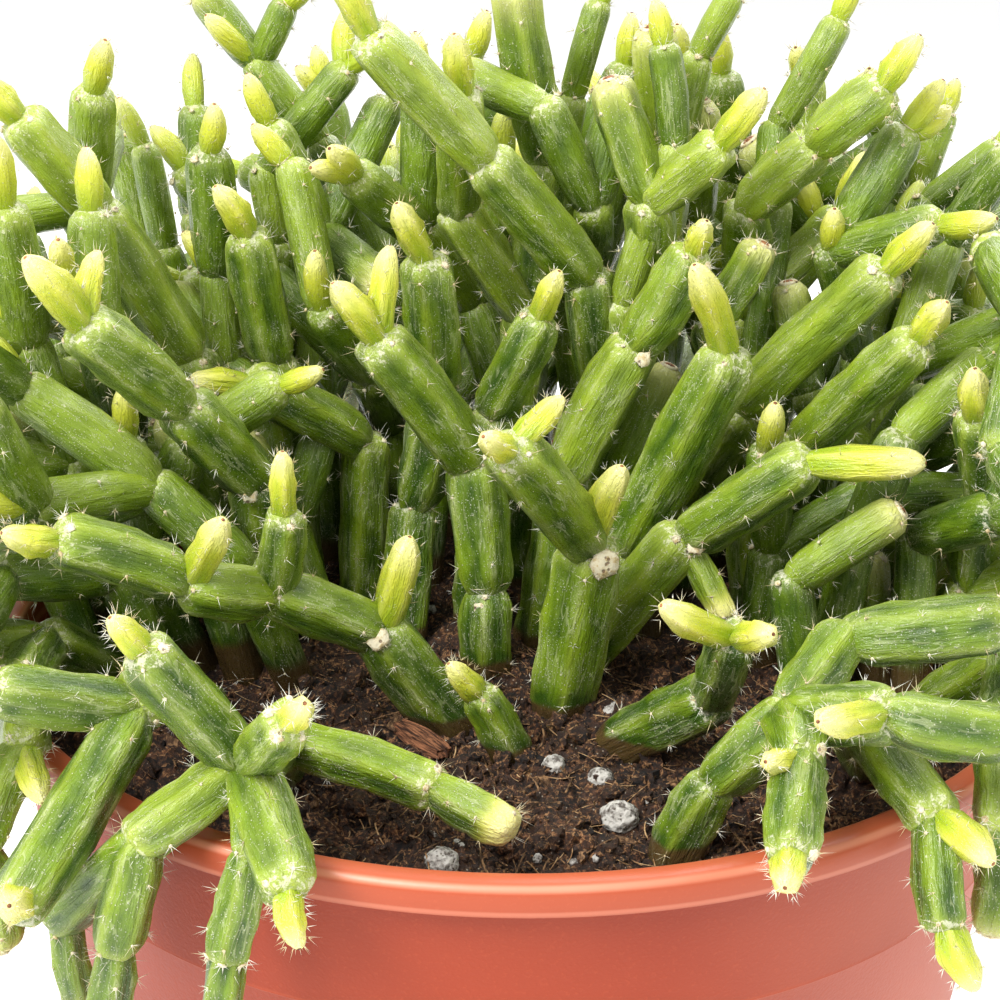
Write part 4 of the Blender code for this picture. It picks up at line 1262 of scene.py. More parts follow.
@dataclass(frozen=True)
class Form:
    """The shape of a segment or a tip, as rings of a place and a radius.

    A ring's place runs from -1 to 0 in the first zone, to 1 in the middle and to 2 in the last zone. The zones
    at the ends keep their lengths, given in radii, as far as their share of the whole length allows.
    """

    rings: tuple[Pair, ...]
    first_zone: float
    last_zone: float
    zone_share: float
    rise: float
    knob: float


@dataclass
class Laid:
    """A segment or a tip in its place."""

    start: Array
    axes: Array
    length: float
    radius: float
    sway: Array
    twist: float
    knobs: int
    phases: list[float]

    def crest(self, rib: int, share: float, width: float = 1.0) -> tuple[Array, Array]:
        """A place on a rib.

        Args:
            rib: The rib's number.
            share: How far along it is.
            width: How far out it is, as a share of the radius.

        Returns:
            The place, and the way out from the middle there.
        """
        angle = math.tau * rib / len(self.phases) + self.twist * share
        out = self.axes[0] * math.cos(angle) + self.axes[1] * math.sin(angle)
        middle = self.start + self.axes[2] * self.length * share + self.sway * math.sin(share * math.pi)
        return middle + out * self.radius * width, out


@dataclass
class Foliage:
    """The stems: each a chain of ribbed segments with corky joints, tufts of bristles and young tips."""

    growth: Growth
    ribs: int = 5
    fine_sides: int = 20
    light_sides: int = 10
    segment: Form = Form(
        ((-1, 0.50), (-0.84, 0.63), (-0.62, 0.75), (-0.35, 0.85), (0, 0.91), (0.2, 0.94), (0.4, 0.965), (0.6, 0.97),
         (0.8, 0.955), (1, 0.93), (1.3, 0.90), (1.58, 0.82), (1.78, 0.69), (1.91, 0.50), (1.98, 0.28)),
        0.95, 0.85, 0.3, 0.085, 0.06)
    light_segment: Form = Form(
        ((-1, 0.52), (-0.6, 0.77), (0, 0.91), (0.5, 0.97), (1, 0.94), (1.5, 0.85), (1.85, 0.60), (1.98, 0.3)),
        0.95, 0.85, 0.3, 0.085, 0.05)
    young: Form = Form(
        ((-1, 0.38), (-0.7, 0.54), (-0.35, 0.70), (0.05, 0.82), (0.45, 0.90), (0.8, 0.91), (1, 0.88), (1.25, 0.80),
         (1.5, 0.69), (1.72, 0.54), (1.88, 0.36), (1.98, 0.18)), 0.9, 1.8, 0.46, 0.075, 0.09)
    light_young: Form = Form(
        ((-1, 0.42), (-0.3, 0.74), (0.5, 0.91), (1, 0.87), (1.4, 0.74), (1.75, 0.50), (1.97, 0.2)), 0.9, 1.8,
        0.46, 0.07, 0.08)
    bow: float = 0.5
    twist: float = 0.35
    rib_power: float = 1.3
    scar_share: float = 0.36
    waist_share: float = 0.58
    tip_waist_share: float = 0.46
    bristle_width: float = 0.085
    joint_bristles: tuple[int, int] = (7, 12)
    bristle_lengths: Pair = (0.9, 2.2)
    side_lengths: Pair = (0.6, 1.7)
    wool_lengths: Pair = (0.3, 0.75)
    wool_count: int = 12
    tuft_limits: Pair = (0.14, 0.9)
    front_tufts: float = 0.85
    grown_tufts: float = 0.45
    front_shoulders: float = 0.75
    grown_shoulders: float = 0.4
    front_rows: tuple[float, ...] = (0.36, 0.56, 0.74, 0.87)
    light_rows: tuple[float, ...] = (0.5, 0.8)
    tip_slim: float = 0.87
    tip_share: float = 0.96
    tip_tone: float = 0.6
    base_tone: float = 0.24
    # Painted light: the front stems are made lighter overall, a painted haze.
    painted_front_haze: float = 0.08
    # Painted light: segments are made lighter the higher they end above the rim, to the full amount at high.
    painted_crown_light: float = 0.26
    high: float = 55.0
    tone_range: Pair = (-0.18, 0.25)
    # Painted shade: fillers and the listed shaded stems are made darker.
    filler_shade: float = 0.25
    felt_chance: float = 0.3
    felt_rows: tuple[float, ...] = (0.2, 0.55, 0.9)
    # Painted light: how much lighter the upper side of a segment is made, and its under side darker.
    top_light: float = 0.22
    soil_stain: float = 2.6
    root_run: float = 4.0
    longest_run: float = 7.0
    root_line: Pair = (8.0, 1.5)
    root_tone: float = -0.8
    bare_youth: float = 0.4
    young_ends: tuple[tuple[str, int], ...] = (("stem_spill_left", 12), ("stem_front_right", 3))
    # Painted shade: stems deep in the bush whose skin is made darker.
    painted_shade_stems: tuple[str, ...] = ("stem_dark_upright", "stem_left_middle", "stem_short_middle", "stem_right_short",
                              "stem_shadow_right")
    scars: tuple[tuple[str, int, Point, float], ...] = (
        ("stem_front_post", 0, (0.30, -0.9, 0.25), 1.7), ("stem_front_left", 0, (0.1, -0.8, 0.6), 1.3),
        ("stem_dark_upright", 0, (-0.2, -1.0, 0.1), 0.9), ("stem_spill_left", 1, (0.3, -0.9, 0.2), 1.3),
        ("stem_front_right", 0, (0.1, -0.9, 0.5), 1.0), ("stem_left_rise", 1, (-0.2, -0.9, 0.3), 1.0),
        ("stem_left_middle", 1, (0.2, -0.9, 0.2), 1.0), ("stem_middle", 1, (0.1, -0.9, 0.3), 0.9),
        ("stem_spill_right", 1, (-0.2, -0.7, 0.6), 1.0), ("stem_right_lower", 1, (-0.3, -0.9, 0.2), 1.1))
    scar_drop: float = 0.35
    scar_reach: float = 0.47
    seed: int = 8

    def model_templates(self) -> None:
        """Model each repeated shape once, the segments and tips without their ribs."""
        self.shapes = {form: Template.take(Bench.loft("form", form.rings, sides))
                       for form, sides in ((self.segment, self.fine_sides), (self.light_segment, self.light_sides),
                                           (self.young, self.fine_sides), (self.light_young, self.light_sides))}
        self.ring = Template.take(Bench.begin(bpy.ops.mesh.primitive_torus_add, major_segments=12, minor_segments=4,
                                              major_radius=1.0, minor_radius=0.30))
        self.spot = Template.take(Bench.loft("spot", ((-0.3, 0.8), (0.15, 1.0), (0.5, 0.6)), 6))
        self.pad = Template.take(Bench.ball(2))
        for row in self.pad.coords:
            row *= 1 + 0.6 * noise.noise(Vector(row) * 1.9)
        self.pad.coords[:, 2] *= 0.35
        self.needle = Template.take(Bench.begin(bpy.ops.mesh.primitive_cone_add, vertices=3, radius1=1.0,
                                                radius2=0.0, depth=1.0, location=(0, 0, 0.5)))

    def lay(self, form: Form, line: tuple[Array, Array], radius: float, youth: Pair, tone: float) -> Laid:
        """Lay one segment or tip.

        Args:
            form: Its shape.
            line: Where it starts, inside the one before, and where it ends.
            radius: Its radius.
            youth: How young it is at its start and at its end, from 0 to 1.
            tone: How light its skin is, before painted light is added to its upper side and its foot stained by the
                soil.

        Returns:
            The segment in its place.
        """
        start, end = line
        length = float(np.linalg.norm(end - start))
        laid = Laid(start, frame_of(unit(end - start), self.draw.uniform(0, math.tau)), length, radius, np.zeros(3),
                    self.draw.uniform(-self.twist, self.twist), self.draw.randint(2, 3),
                    [self.draw.random() for _ in range(self.ribs)])
        laid.sway = laid.axes[0] * self.draw.uniform(-self.bow, self.bow)
        template = self.shapes[form]
        x, y, place = template.coords.T
        first = min(form.first_zone * radius, form.zone_share * length)
        last = min(form.last_zone * radius, form.zone_share * length)
        height = np.where(place < 0, (place + 1) * first, first + place * (length - first - last))
        height = np.where(place > 1, length - last * (2 - place), height)
        share = height / length
        angle = np.arctan2(y, x)
        ridge = (0.5 + 0.5 * np.cos(self.ribs * angle)) ** self.rib_power
        wave = np.where(np.hypot(x, y) > 0.01, 2 * ridge - 1, 0.0)
        phase = np.array(laid.phases)[np.round(angle / math.tau * self.ribs).astype(int) % self.ribs]
        knob = form.knob * (0.5 + 0.5 * wave) * np.cos(math.tau * (laid.knobs * share + phase))
        spread = np.hypot(x, y) * radius * (1 + form.rise * wave + knob)
        turned = angle + laid.twist * share
        local = np.column_stack([spread * np.cos(turned), spread * np.sin(turned), height])
        coords = start + local @ laid.axes + np.sin(np.clip(share, 0, 1) * math.pi)[:, None] * laid.sway
        youths = youth[0] + (youth[1] - youth[0]) * np.clip(2 * share - 1, 0, 1) ** 1.5
        mark = np.column_stack([0.5 + 0.5 * wave, youths, share])
        offset = np.array([self.draw.uniform(0, 90) for _ in range(3)])
        # Painted light and shade: the upper side of each segment is made lighter, the under side darker.
        painted_light_by_facing = (np.cos(turned) * laid.axes[0][2] + np.sin(turned) * laid.axes[1][2]) * self.top_light
        inside = np.hypot(coords[:, 0], coords[:, 1]) < POT.rim_inner
        stain = np.clip(1 - (coords[:, 2] - POT.soil_top - 0.4) / self.soil_stain, 0, 1.2) * inside
        self.bundle.add(template, coords, Finish.SKIN.value, local + offset, mark, tone + painted_light_by_facing - stain)
        return laid

    def bristles(self, centre: Array, axis: Array, ring: float, count: int, lengths: Pair, lean: Pair) -> None:
        """Lay a tuft of bristles that radiate from a ring.

        Args:
            centre: The ring's middle.
            axis: The way the ring faces.
            ring: The ring's radius.
            count: How many bristles there are.
            lengths: Their least and greatest length.
            lean: The least and greatest angle from the axis, in degrees.
        """
        axes = frame_of(axis, self.draw.uniform(0, math.tau))
        for number in range(count):
            angle = math.tau * (number + self.draw.uniform(-0.35, 0.35)) / count
            out = axes[0] * math.cos(angle) + axes[1] * math.sin(angle)
            slope = math.radians(self.draw.uniform(*lean))
            course = axis * math.cos(slope) + out * math.sin(slope)
            width = self.bristle_width * self.draw.uniform(0.35, 0.6)
            size = np.array([width, width, self.draw.uniform(*lengths)])
            coords = centre + out * ring + (self.needle.coords * size) @ frame_of(course, 0.0)
            self.bundle.add(self.needle, coords, Finish.BRISTLE.value)

    def dot(self, centre: Array, axis: Array, radius: float, finish: Finish) -> None:
        """Lay one small round spot."""
        self.bundle.add(self.spot, centre + (self.spot.coords * radius) @ frame_of(axis, 0.0), finish.value)

    def collar(self, centre: Array, axis: Array, radius: float, height: float) -> None:
        """Lay one corky ring."""
        coords = self.ring.coords * np.array([radius, radius, height])
        self.bundle.add(self.ring, centre + coords @ frame_of(axis, 0.0), Finish.CORK.value)

    def felt(self, centre: Array, axis: Array, radius: float) -> None:
        """Lay one felted patch: a rough pad with short wool all over it."""
        self.bundle.add(self.pad, centre + (self.pad.coords * radius) @ frame_of(axis, self.draw.uniform(0, math.tau)),
                   Finish.CORK.value)
        for share in self.felt_rows:
            count = round(2 + 6 * share * radius)
            self.bristles(centre + axis * 0.1, axis, radius * share, count, self.wool_lengths, (20, 85))

    def tufts(self, laid: Laid, chance: float) -> None:
        """Lay the small tufts on a segment's ribs, each on a swelling of its rib."""
        for rib, phase in enumerate(laid.phases):
            for number in range(1, laid.knobs + 1):
                share = (number - phase) / laid.knobs
                if not self.tuft_limits[0] < share < self.tuft_limits[1] or self.draw.random() > chance:
                    continue
                foot, out = laid.crest(rib, share, 1.035)
                self.dot(foot, out, self.draw.uniform(0.12, 0.24), Finish.CORK)
                lean = unit(out + laid.axes[2] * self.draw.uniform(0.1, 0.6))
                self.bristles(foot, lean, 0.06, self.draw.randint(3, 6), self.side_lengths, (10, 65))

    def shoulder(self, laid: Laid, chance: float) -> None:
        """Lay the larger tufts at the end of a segment, where its ribs stop."""
        for rib in range(self.ribs):
            if self.draw.random() > chance:
                continue
            foot, out = laid.crest(rib, 1 - 0.25 * laid.radius / laid.length, 0.77)
            face = unit(out * 0.8 + laid.axes[2])
            if self.draw.random() < self.felt_chance:
                self.felt(foot, face, self.draw.uniform(0.35, 0.6))
            else:
                self.dot(foot, face, self.draw.uniform(0.2, 0.4), Finish.CORK)
            self.bristles(foot, face, 0.15, self.draw.randint(3, 6), self.bristle_lengths, (15, 75))

    def lay_tip(self, line: tuple[Array, Array], radius: float, front: bool) -> None:
        """Lay a young tip with its brown point and its fine bristles."""
        youth = self.draw.uniform(0.75 if front else 0.3, 1.0)
        start = line[0]
        end = start + (line[1] - start) * self.tip_share
        laid = self.lay(self.young if front else self.light_young, (start, end), radius * self.tip_slim,
                        (youth, youth), self.tip_tone)
        heading = laid.axes[2]
        self.dot(end - heading * 0.12, heading, 0.24, Finish.SPOT)
        self.bristles(end - heading * 0.3, heading, radius * 0.25, self.draw.randint(6, 9), (0.6, 1.5), (8, 65))
        for rib in range(self.ribs):
            for share in self.front_rows if front else self.light_rows:
                if self.draw.random() > self.front_tufts:
                    continue
                width = 0.98 - 1.1 * max(0.0, share - 0.5) ** 1.5
                foot, out = laid.crest(rib, share + self.draw.uniform(-0.05, 0.05), width)
                lean = unit(out + heading * self.draw.uniform(0.3, 1.0))
                self.bristles(foot, lean, 0.05, self.draw.randint(2, 4), (0.5, 1.3), (5, 50))

    def lay_segment(self, line: tuple[Array, Array], radius: float, front: bool,
                    tone: float, bare: bool, end_youth: float) -> None:
        """Lay a mature segment with its tufts and, on a bare end, its scar."""
        laid = self.lay(self.segment if front else self.light_segment, line, radius, (0.0, end_youth), tone)
        self.tufts(laid, self.front_tufts if front else self.grown_tufts)
        self.shoulder(laid, self.front_shoulders if front else self.grown_shoulders)
        if bare and end_youth < 1:
            end, heading = line[1], laid.axes[2]
            self.collar(end - heading * 0.12, heading, radius * self.scar_share, 0.9)
            self.dot(end - heading * 0.2, heading, radius * 0.3, Finish.SPOT)
            self.bristles(end - heading * 0.2, heading, radius * 0.42, self.draw.randint(5, 8),
                          self.bristle_lengths, (15, 75))

    def stem(self, name: str, plan: Stem) -> Object:
        """Build one stem.

        Args:
            name: The name of its node, or of a stem that only fills.
            plan: The plan of its pieces.

        Returns:
            The stem's object.
        """
        self.bundle = Bundle(f"dressed_{name}")
        front = name in FRONT_STEMS
        neck = self.growth.root_joint(plan.root)
        start, end = [neck - np.array([0, 0, depth]) for depth in self.root_line]
        self.lay(self.light_segment, (start, end), self.growth.root_radius(plan), (0.0, 0.0), self.root_tone)
        parents = {piece.after for piece in plan.pieces}
        for number, piece in enumerate(plan.pieces):
            start, end = self.growth.piece_line(plan, number)
            radius = piece.thickness / 2
            heading = unit(end - start)
            if piece.after is None:
                start = start - heading * min(self.root_run / heading[2], self.longest_run)
            if piece.tip:
                self.lay_tip((start, end), radius, front)
            else:
                # Painted light and shade: high segments and front stems lighter, shaded stems and fillers darker; the
                # rest of the tone is random.
                level = min(1.0, max(0.0, (end[2] - POT.height) / self.high))
                shaded = name in self.painted_shade_stems or name.startswith("filler")
                tone = (self.base_tone + self.painted_front_haze * front + self.painted_crown_light * level
                        + self.draw.uniform(*self.tone_range) - self.filler_shade * shaded)
                bare = number not in parents
                end_youth = 1.0 if (name, number) in self.young_ends else self.bare_youth * bare
                self.lay_segment((start, end), radius, front, tone, bare, end_youth)
            if piece.after is not None:
                foot = start + heading * (self.growth.sink + 0.1)
                waist = radius * (self.tip_waist_share if piece.tip else self.waist_share)
                self.collar(foot, heading, waist, 0.5)
                self.bristles(foot, heading, waist, self.draw.randint(*self.joint_bristles),
                              self.bristle_lengths, (50, 105))
                if front:
                    self.bristles(foot, heading, waist * 1.05, self.wool_count, self.wool_lengths, (40, 115))
        for owner, number, facing, size in self.scars:
            if owner == name:
                face, piece = unit(np.array(facing)), plan.pieces[number]
                seat = np.array(piece.end) - np.array([0, 0, self.scar_drop * piece.thickness])
                self.felt(seat + face * self.scar_reach * piece.thickness, face, size)
        return self.bundle.make(self.finishes)

    def build(self) -> None:
        """Build every stem and let it ride, in place of its solid where it has one."""
        self.draw = random.Random(self.seed)
        self.finishes = [SkinFinish().material(), CorkFinish().material(), BristleFinish().material(),
                         SpotFinish().material()]
        self.model_templates()
        for name, plan in self.growth.fill_out().items():
            settle(self.stem(name, plan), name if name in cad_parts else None)


@dataclass
class Pot:
    """The nursery pot: one turned shell with a rounded lip, a mould line and drain holes."""

    sides: int = 144
    holes: int = 6
    hole_radius: float = 3.2
    hole_sides: int = 32
    hole_circle: float = 27.0
    lip_round: float = 1.0
    smooth_angle: float = 40.0

    def stations(self) -> list[Pair]:
        """The height and radius of each ring, from the foot's middle round the lip to the floor's middle."""
        low, line, top, floor = POT.height - POT.lip_height, POT.height - POT.line_drop, POT.height, POT.floor
        body, rim, inner = POT.body_radius, POT.rim_radius, POT.rim_inner
        return [(0, 8), (0, 30), (0, POT.foot - 1.3), (0.25, POT.foot - 0.5), (1.2, body(1.2)), (24, body(24)),
                (56, body(56)), (line - 0.35, body(line)), (line - 0.05, body(line) + POT.line_step),
                (line + 0.25, body(line) + 0.2), (low - 0.35, body(low) + 0.02), (low - 0.08, body(low) + 0.35),
                (low, rim - 0.55), (low + 0.15, rim - 0.15), (low + 0.55, rim), (top - 1.15, rim),
                (top - 0.6, rim - 0.1), (top - 0.22, rim - 0.42), (top - 0.03, rim - 0.95),
                (top - 0.03, inner + 0.55), (top - 0.2, inner + 0.2), (top - 0.6, inner),
                (low + self.lip_round, inner), (low, body(low) - POT.wall), (floor + 1, body(floor + 1) - POT.wall),
                (floor, body(floor) - POT.wall - 0.9), (floor, 30), (floor, 8)]

    def build(self) -> None:
        """Build the pot in place of its solid."""
        pot = Bench.loft("dressed_pot", [(z * MM, radius * MM) for z, radius in self.stations()], self.sides)
        self.drill(pot)
        pot.data.materials.clear()
        pot.data.materials.append(PlasticFinish().material())
        Bench.smooth(pot, self.smooth_angle)
        settle(pot, "pot")

    def drill(self, pot: Object) -> None:
        """Cut the drain holes through the foot."""
        for number in range(self.holes):
            angle = math.tau * number / self.holes
            place = Vector((self.hole_circle * math.cos(angle), self.hole_circle * math.sin(angle), POT.floor / 2))
            drill = Bench.begin(bpy.ops.mesh.primitive_cylinder_add, vertices=self.hole_sides,
                                radius=self.hole_radius * MM, depth=(POT.floor + 2) * MM, location=place * MM)
            cut = pot.modifiers.new("drain_hole", "BOOLEAN")
            cut.operation = "DIFFERENCE"
            cut.object = drill
            cut.solver = "EXACT"
            bpy.ops.object.select_all(action="DESELECT")
            bpy.context.view_layer.objects.active = pot
            bpy.ops.object.modifier_apply(modifier=cut.name)
            bpy.data.objects.remove(drill, do_unlink=True)


@dataclass
class SoilBed:
    """The potting mix: a crumbly bed, with loose crumbs, fibres, bark and perlite on it."""

    cuts: int = 250
    crumb_count: int = 3200
    fibre_count: int = 520
    bark_count: int = 60
    perlite_count: int = 60
    seed: int = 21
    bark_centre: Pair = (-10.1, -20.3)
    bark_size: Point = (8.4, 2.5, 1.4)
    bark_turn: float = math.radians(-50)
    bark_rise: float = 1.1
    bark_cuts: int = 11
    reach: float = 54.8
    fibre_reach: float = 55.0
    even_width: float = 1.5
    even_share: float = 0.25
    smooth_angle: float = 60.0
    waves: tuple[tuple[float, ...], ...] = ((1.0, 0.43, 0.37, 1.0), (0.7, -0.5, 0.81, 2.0))
    crumb_relief: float = 0.75
    grain_relief: float = 0.55
    rough_relief: float = 0.62
    # Painted shade on the bed: its tone follows the crumbs' relief.
    relief_shade_middle: float = 0.5
    relief_shade_gain: float = 0.75
    perlite: tuple[tuple[str, float, float, float], ...] = (
        ("perlite_grain_large", 11.0, -34.6, 1.9), ("perlite_grain_by_post", 10.6, -11.0, 1.3),
        ("perlite_grain_chip", 4.2, -23.6, 1.2), ("perlite_grain_middle", 9.0, -26.6, 1.4),
        ("perlite_grain_rim", -6.3, -44.0, 1.6))

    def height(self, x: float, y: float) -> float:
        """The height of the bed's broad form."""
        lumps = sum(strength * math.sin(along * x + across * y + start)
                    for strength, along, across, start in self.waves)
        return POT.soil_top + POT.relief * lumps - POT.edge_drop * (math.hypot(x, y) / POT.rim_inner) ** 4

    def relief(self, x: float, y: float) -> float:
        """The height of the crumbs on the bed."""
        spot = Vector((x, y, 0))
        crumbs, _ = noise.voronoi(spot * 0.55)
        grains, _ = noise.voronoi(spot * 1.4 + Vector((9, 4, 0)))
        rough = noise.fractal(spot * 1.1, 0.7, 2.1, 4)
        return (self.crumb_relief * (0.45 - crumbs[0]) + self.grain_relief * (0.4 - grains[0])
                + self.rough_relief * rough)

    def surface(self, x: float, y: float) -> float:
        """The height of the bed with its crumbs."""
        return self.height(x, y) + self.relief(x, y)

    def bed(self) -> Object:
        """Model the bed: a disc-shaped grid with crumbs, pulled down to a wall and a flat bottom."""
        edge = POT.inner_radius(POT.soil_top - POT.edge_drop - 2 * POT.relief) - POT.gap
        bottom = POT.floor + POT.gap
        made = Bench.begin(bpy.ops.mesh.primitive_grid_add, x_subdivisions=self.cuts, y_subdivisions=self.cuts,
                           size=2.0)
        made.name = "dressed_soil"
        Bench.edit(made, "DESELECT")
        bpy.ops.mesh.select_non_manifold()
        bpy.ops.mesh.extrude_region_move(TRANSFORM_OT_translate={"value": (0, 0, -1)})
        Bench.fan()
        Bench.close()
        for vert in made.data.vertices:
            x, y, z = vert.co
            u, v = x * math.sqrt(1 - y * y / 2), y * math.sqrt(1 - x * x / 2)
            if z < -0.5:
                reach = (POT.inner_radius(bottom) - POT.gap) * MM
                vert.co = (u * reach, v * reach, bottom * MM)
            else:
                x, y = u * edge, v * edge
                fade = min(1.0, (edge - math.hypot(x, y)) / self.even_width + self.even_share)
                vert.co = (x * MM, y * MM, (self.height(x, y) + self.relief(x, y) * fade) * MM)
        # Painted shade: the bed's tone follows its crumbs' relief, darker in the hollows and lighter on the tops.
        levels = [self.relief(vert.co.x / MM, vert.co.y / MM) for vert in made.data.vertices]
        relief_shades = made.data.attributes.new("tone", "FLOAT", "POINT")
        relief_shades.data.foreach_set("value", [self.relief_shade_middle + self.relief_shade_gain * level for level in levels])
        made.data.materials.append(SoilFinish().material())
        Bench.smooth(made, self.smooth_angle)
        return made

    def lump(self, subdivisions: int, rough: float, seed: float) -> Template:
        """Model a rough lump of radius 1.

        Args:
            subdivisions: How fine it is.
            rough: How far its surface wanders.
            seed: Where its noise is read.

        Returns:
            The lump.
        """
        lump = Template.take(Bench.ball(subdivisions))
        for row in lump.coords:
            place = Vector(row) + Vector((seed, 0, 0))
            row *= 1 + rough * noise.noise(place * 1.3) + 0.7 * rough * noise.noise(place * 3.1)
        return lump

    def spread(self, near_front: float = 0.6) -> Pair:
        """A place on the soil, more often in the open front."""
        while True:
            if self.draw.random() < near_front:
                x, y = self.draw.uniform(-34, 34), self.draw.uniform(-55, 4)
            else:
                x, y = self.draw.uniform(-55, 55), self.draw.uniform(-55, 55)
            aside = Matrix.Rotation(-self.bark_turn, 2) @ Vector((x - self.bark_centre[0], y - self.bark_centre[1]))
            clear = abs(aside.x) > 0.55 * self.bark_size[0] or abs(aside.y) > 0.6 * self.bark_size[1]
            if clear and math.hypot(x, y) < self.reach:
                return x, y

    def scatter(self, name: str, lumps: list[Template], count: int, sizes: Pair,
                finish: Material, stretch: Point = (1, 1, 1)) -> Object:
        """Scatter lumps over the bed as one piece.

        Args:
            name: The piece's name.
            lumps: The shapes to choose from.
            count: How many are laid.
            sizes: Their least and greatest radius.
            finish: Their material.
            stretch: How long, wide and tall they are for their size.

        Returns:
            The object.
        """
        bundle = Bundle(name)
        for _ in range(count):
            x, y = self.spread()
            size = sizes[0] + (sizes[1] - sizes[0]) * self.draw.random() ** 2.2
            turn = Matrix.Rotation(self.draw.uniform(0, math.tau), 3, "Z")
            turn = turn @ Matrix.Rotation(self.draw.gauss(0, 0.35), 3, "X")
            lump = self.draw.choice(lumps)
            shape = (lump.coords * np.array(stretch) * size) @ np.array(turn).T
            middle = (x, y, self.surface(x, y) + size * stretch[2] * self.draw.uniform(-0.2, 0.5))
            bundle.add(lump, shape + np.array(middle), tone=self.draw.random() ** 1.3)
        return bundle.make([finish], smooth=False)

    def fibres(self, name: str, count: int, finish: Material, lengths: Pair, width: float) -> Object:
        """Lay curved fibres on the bed as one piece.

        Args:
            name: The piece's name.
            count: How many there are.
            finish: Their material.
            lengths: Their least and greatest length.
            width: Their width.

        Returns:
            The object.
        """
        strand = Template.take(Bench.loft("strand", [(step / 5, 1.0) for step in range(6)], 4))
        bundle = Bundle(name)
        for _ in range(count):
            x, y = self.spread(0.7)
            length = self.draw.uniform(*lengths)
            turn = self.draw.uniform(0, math.tau)
            bend = self.draw.uniform(-0.3, 0.3) * length
            rise = self.draw.uniform(-0.5, 1.8)
            thick = width * self.draw.uniform(0.5, 1.2)
            z = strand.coords[:, 2]
            ahead = (z - 0.5) * length
            aside = strand.coords[:, 0] * thick + bend * (2 * z - 1) ** 2 * 0.5
            up = strand.coords[:, 1] * thick * 0.6 + rise * (z - 0.3)
            px = x + ahead * math.cos(turn) - aside * math.sin(turn)
            py = y + ahead * math.sin(turn) + aside * math.cos(turn)
            inside = np.minimum(1.0, self.fibre_reach / np.maximum(np.hypot(px, py), 1.0))
            level = self.height(x, y) + self.relief(x, y) * 0.5 + 0.35
            bundle.add(strand, np.column_stack([px * inside, py * inside, level + up]))
        return bundle.make([finish])

    def chip(self) -> Object:
        """Model the large bark splinter in place of its solid."""
        made = Bench.begin(bpy.ops.mesh.primitive_cube_add, size=1.0)
        made.name = "dressed_bark_chip"
        Bench.edit(made)
        bpy.ops.transform.resize(value=self.bark_size)
        bpy.ops.mesh.subdivide(number_cuts=self.bark_cuts)
        Bench.close()
        turn = Matrix.Rotation(self.bark_turn, 4, "Z")
        skin = made.data.attributes.new("skin", "FLOAT_VECTOR", "POINT")
        skin.data.foreach_set("vector", [part for vert in made.data.vertices for part in vert.co])
        for vert in made.data.vertices:
            x, y, z = vert.co
            along = 2 * x / self.bark_size[0]
            taper = 1 - 0.35 * along ** 2
            ridge = 0.14 * noise.noise(Vector((x * 0.25, y * 2.4, z * 1.2)))
            ends = 0.5 * noise.noise(Vector((7, y * 1.5, z))) * along
            vert.co = Vector((x + ends, (y + ridge) * taper, (z + ridge) * taper))
        place = Matrix.Translation((*self.bark_centre, POT.soil_top + self.bark_rise))
        made.data.transform(Matrix.Diagonal((MM, MM, MM, 1)) @ place @ turn)
        made.data.materials.append(FibreFinish(tint(50, 28, 20), tint(168, 112, 78), "bark_splinter", True).material())
        made.data.shade_smooth()
        return made

    def grain(self, name: str, x: float, y: float, radius: float) -> Object:
        """Model one large perlite grain in place of its solid."""
        lump = self.lump(4, 0.14, x)
        for row in lump.coords:
            distances, _ = noise.voronoi(Vector(row) * 3.2 + Vector((x, y, 0)))
            row *= 0.90 + 0.16 * min(1.0, distances[0] * 2.2)
        lump.coords *= np.array([1.0, 0.9, 0.85]) * radius
        bundle = Bundle("dressed_" + name)
        bundle.add(lump, lump.coords + np.array([x, y, POT.soil_top + 0.05 * radius]))
        return bundle.make([self.foam])

    def build(self) -> None:
        """Build the bed and all that lies on it."""
        self.draw = random.Random(self.seed)
        self.foam = PerliteFinish().material()
        bed = self.bed()
        mix = bed.data.materials[0]
        settle(bed, "soil")
        crumbs = [self.lump(2, 0.9, number * 5.0) for number in range(5)]
        grit = [self.lump(1, 0.8, number * 3.0) for number in range(4)]
        settle(self.scatter("soil_crumbs", crumbs, self.crumb_count // 4, (0.40, 1.35), mix))
        settle(self.scatter("soil_grit", grit, self.crumb_count, (0.16, 0.55), mix))
        bark = FibreFinish().material()
        settle(self.scatter("bark_bits", crumbs, self.bark_count, (0.5, 1.1), bark, (2.4, 0.8, 0.5)))
        settle(self.fibres("dark_fibres", self.fibre_count, bark, (1.5, 6.0), 0.12))
        straw = FibreFinish(tint(150, 112, 74), tint(205, 172, 126), "straw_grain").material()
        settle(self.fibres("straw_fibres", self.fibre_count // 2, straw, (1.0, 4.0), 0.075))
        foam = [self.lump(2, 0.35, number * 7.0) for number in range(3)]
        settle(self.scatter("perlite_grit", foam, self.perlite_count, (0.2, 0.75), self.foam))
        settle(self.chip(), "bark_chip")
        for name, x, y, radius in self.perlite:
            settle(self.grain(name, x, y, radius), name)


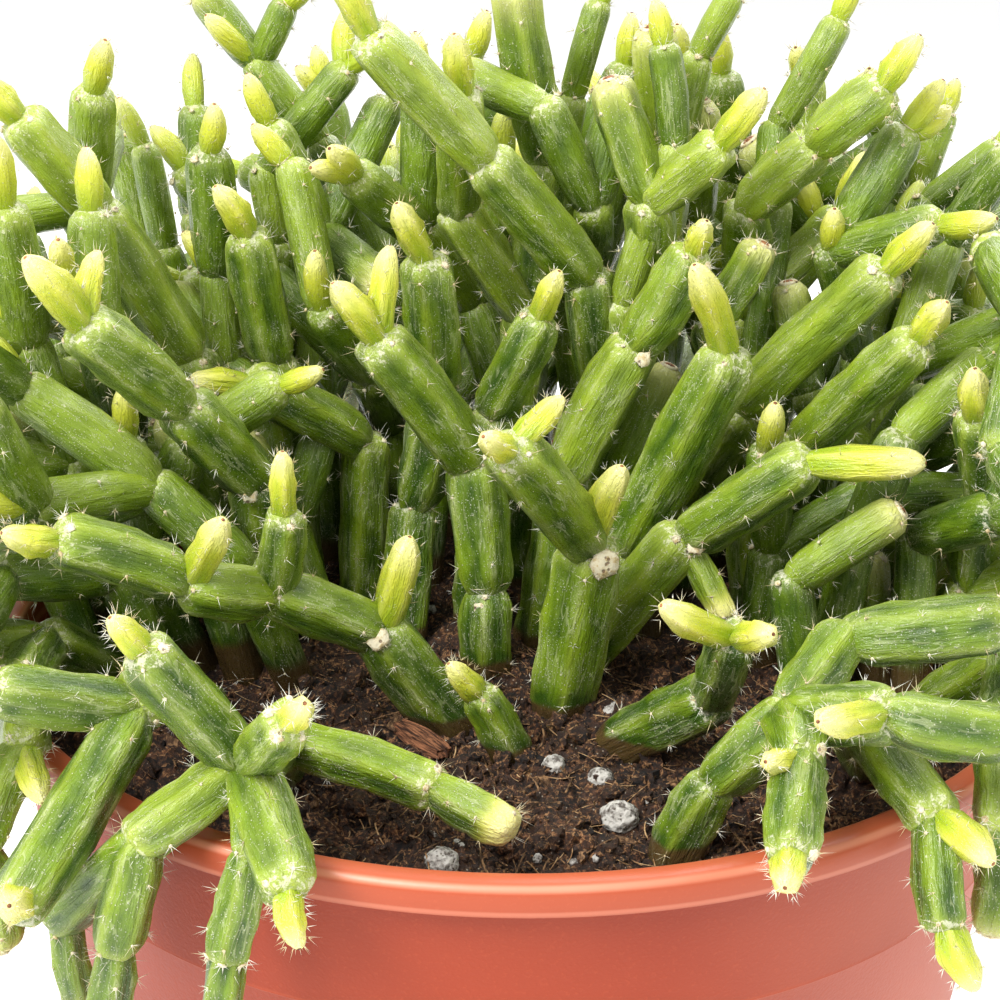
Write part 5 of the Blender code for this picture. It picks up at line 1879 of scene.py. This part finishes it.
@dataclass
class Studio:
    """The pale floor, the soft light and the camera at the photograph's angle."""

    lens: float = 79.2
    camera_place: Point = (0.0068, -0.2301, 0.2079)
    camera_turn: Point = (math.radians(68.84), 0.0, math.radians(2.30))
    sensor: float = 36.0
    near: float = 0.01
    floor_size: float = 6.0
    floor_drop: float = 0.0002
    aim: Point = (0, 0, 0.11)
    lamps: tuple[tuple[str, Point, float, float], ...] = (
        ("key", (-0.35, -0.45, 0.75), 0.40, 9.5), ("back", (0.25, 0.5, 0.6), 0.5, 5.0))

    def lamp(self, name: str, place: Point, size: float, power: float) -> None:
        """Hang one square soft light.

        Args:
            name: Its name.
            place: Where it hangs.
            size: The length of its side.
            power: Its power in watts.
        """
        light = bpy.data.lights.new(name, "AREA")
        light.size = size
        light.energy = power
        made = linked(name, light)
        made.location = place
        made.rotation_euler = (Vector(self.aim) - Vector(place)).to_track_quat("-Z", "Y").to_euler()

    def build(self) -> None:
        """Build the floor, the light and the camera."""
        floor = Bench.begin(bpy.ops.mesh.primitive_plane_add, size=self.floor_size, location=(0, 0, -self.floor_drop))
        floor.name = "floor"
        floor.data.materials.append(FloorFinish().material())
        scene = bpy.context.scene
        world = bpy.data.worlds.new("studio")
        world.use_nodes = True
        backdrop = world.node_tree.nodes["Background"].inputs
        backdrop["Color"].default_value = (1, 1, 1, 1)
        backdrop["Strength"].default_value = 1.0
        scene.world = world
        scene.view_settings.view_transform = "Standard"
        for lamp in self.lamps:
            self.lamp(*lamp)
        lens = bpy.data.cameras.new("camera")
        lens.lens = self.lens
        lens.sensor_width = self.sensor
        lens.clip_start = self.near
        camera = linked("camera", lens)
        camera.location = self.camera_place
        camera.rotation_euler = self.camera_turn
        scene.camera = camera


def main() -> None:
    """Build the stage and the plant."""
    logging.basicConfig(level=logging.INFO, format="%(message)s")
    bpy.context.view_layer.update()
    Studio().build()
    growth = Growth()
    growth.grow()
    Pot().build()
    SoilBed().build()
    Foliage(growth).build()


if __name__ == "__main__":
    main()
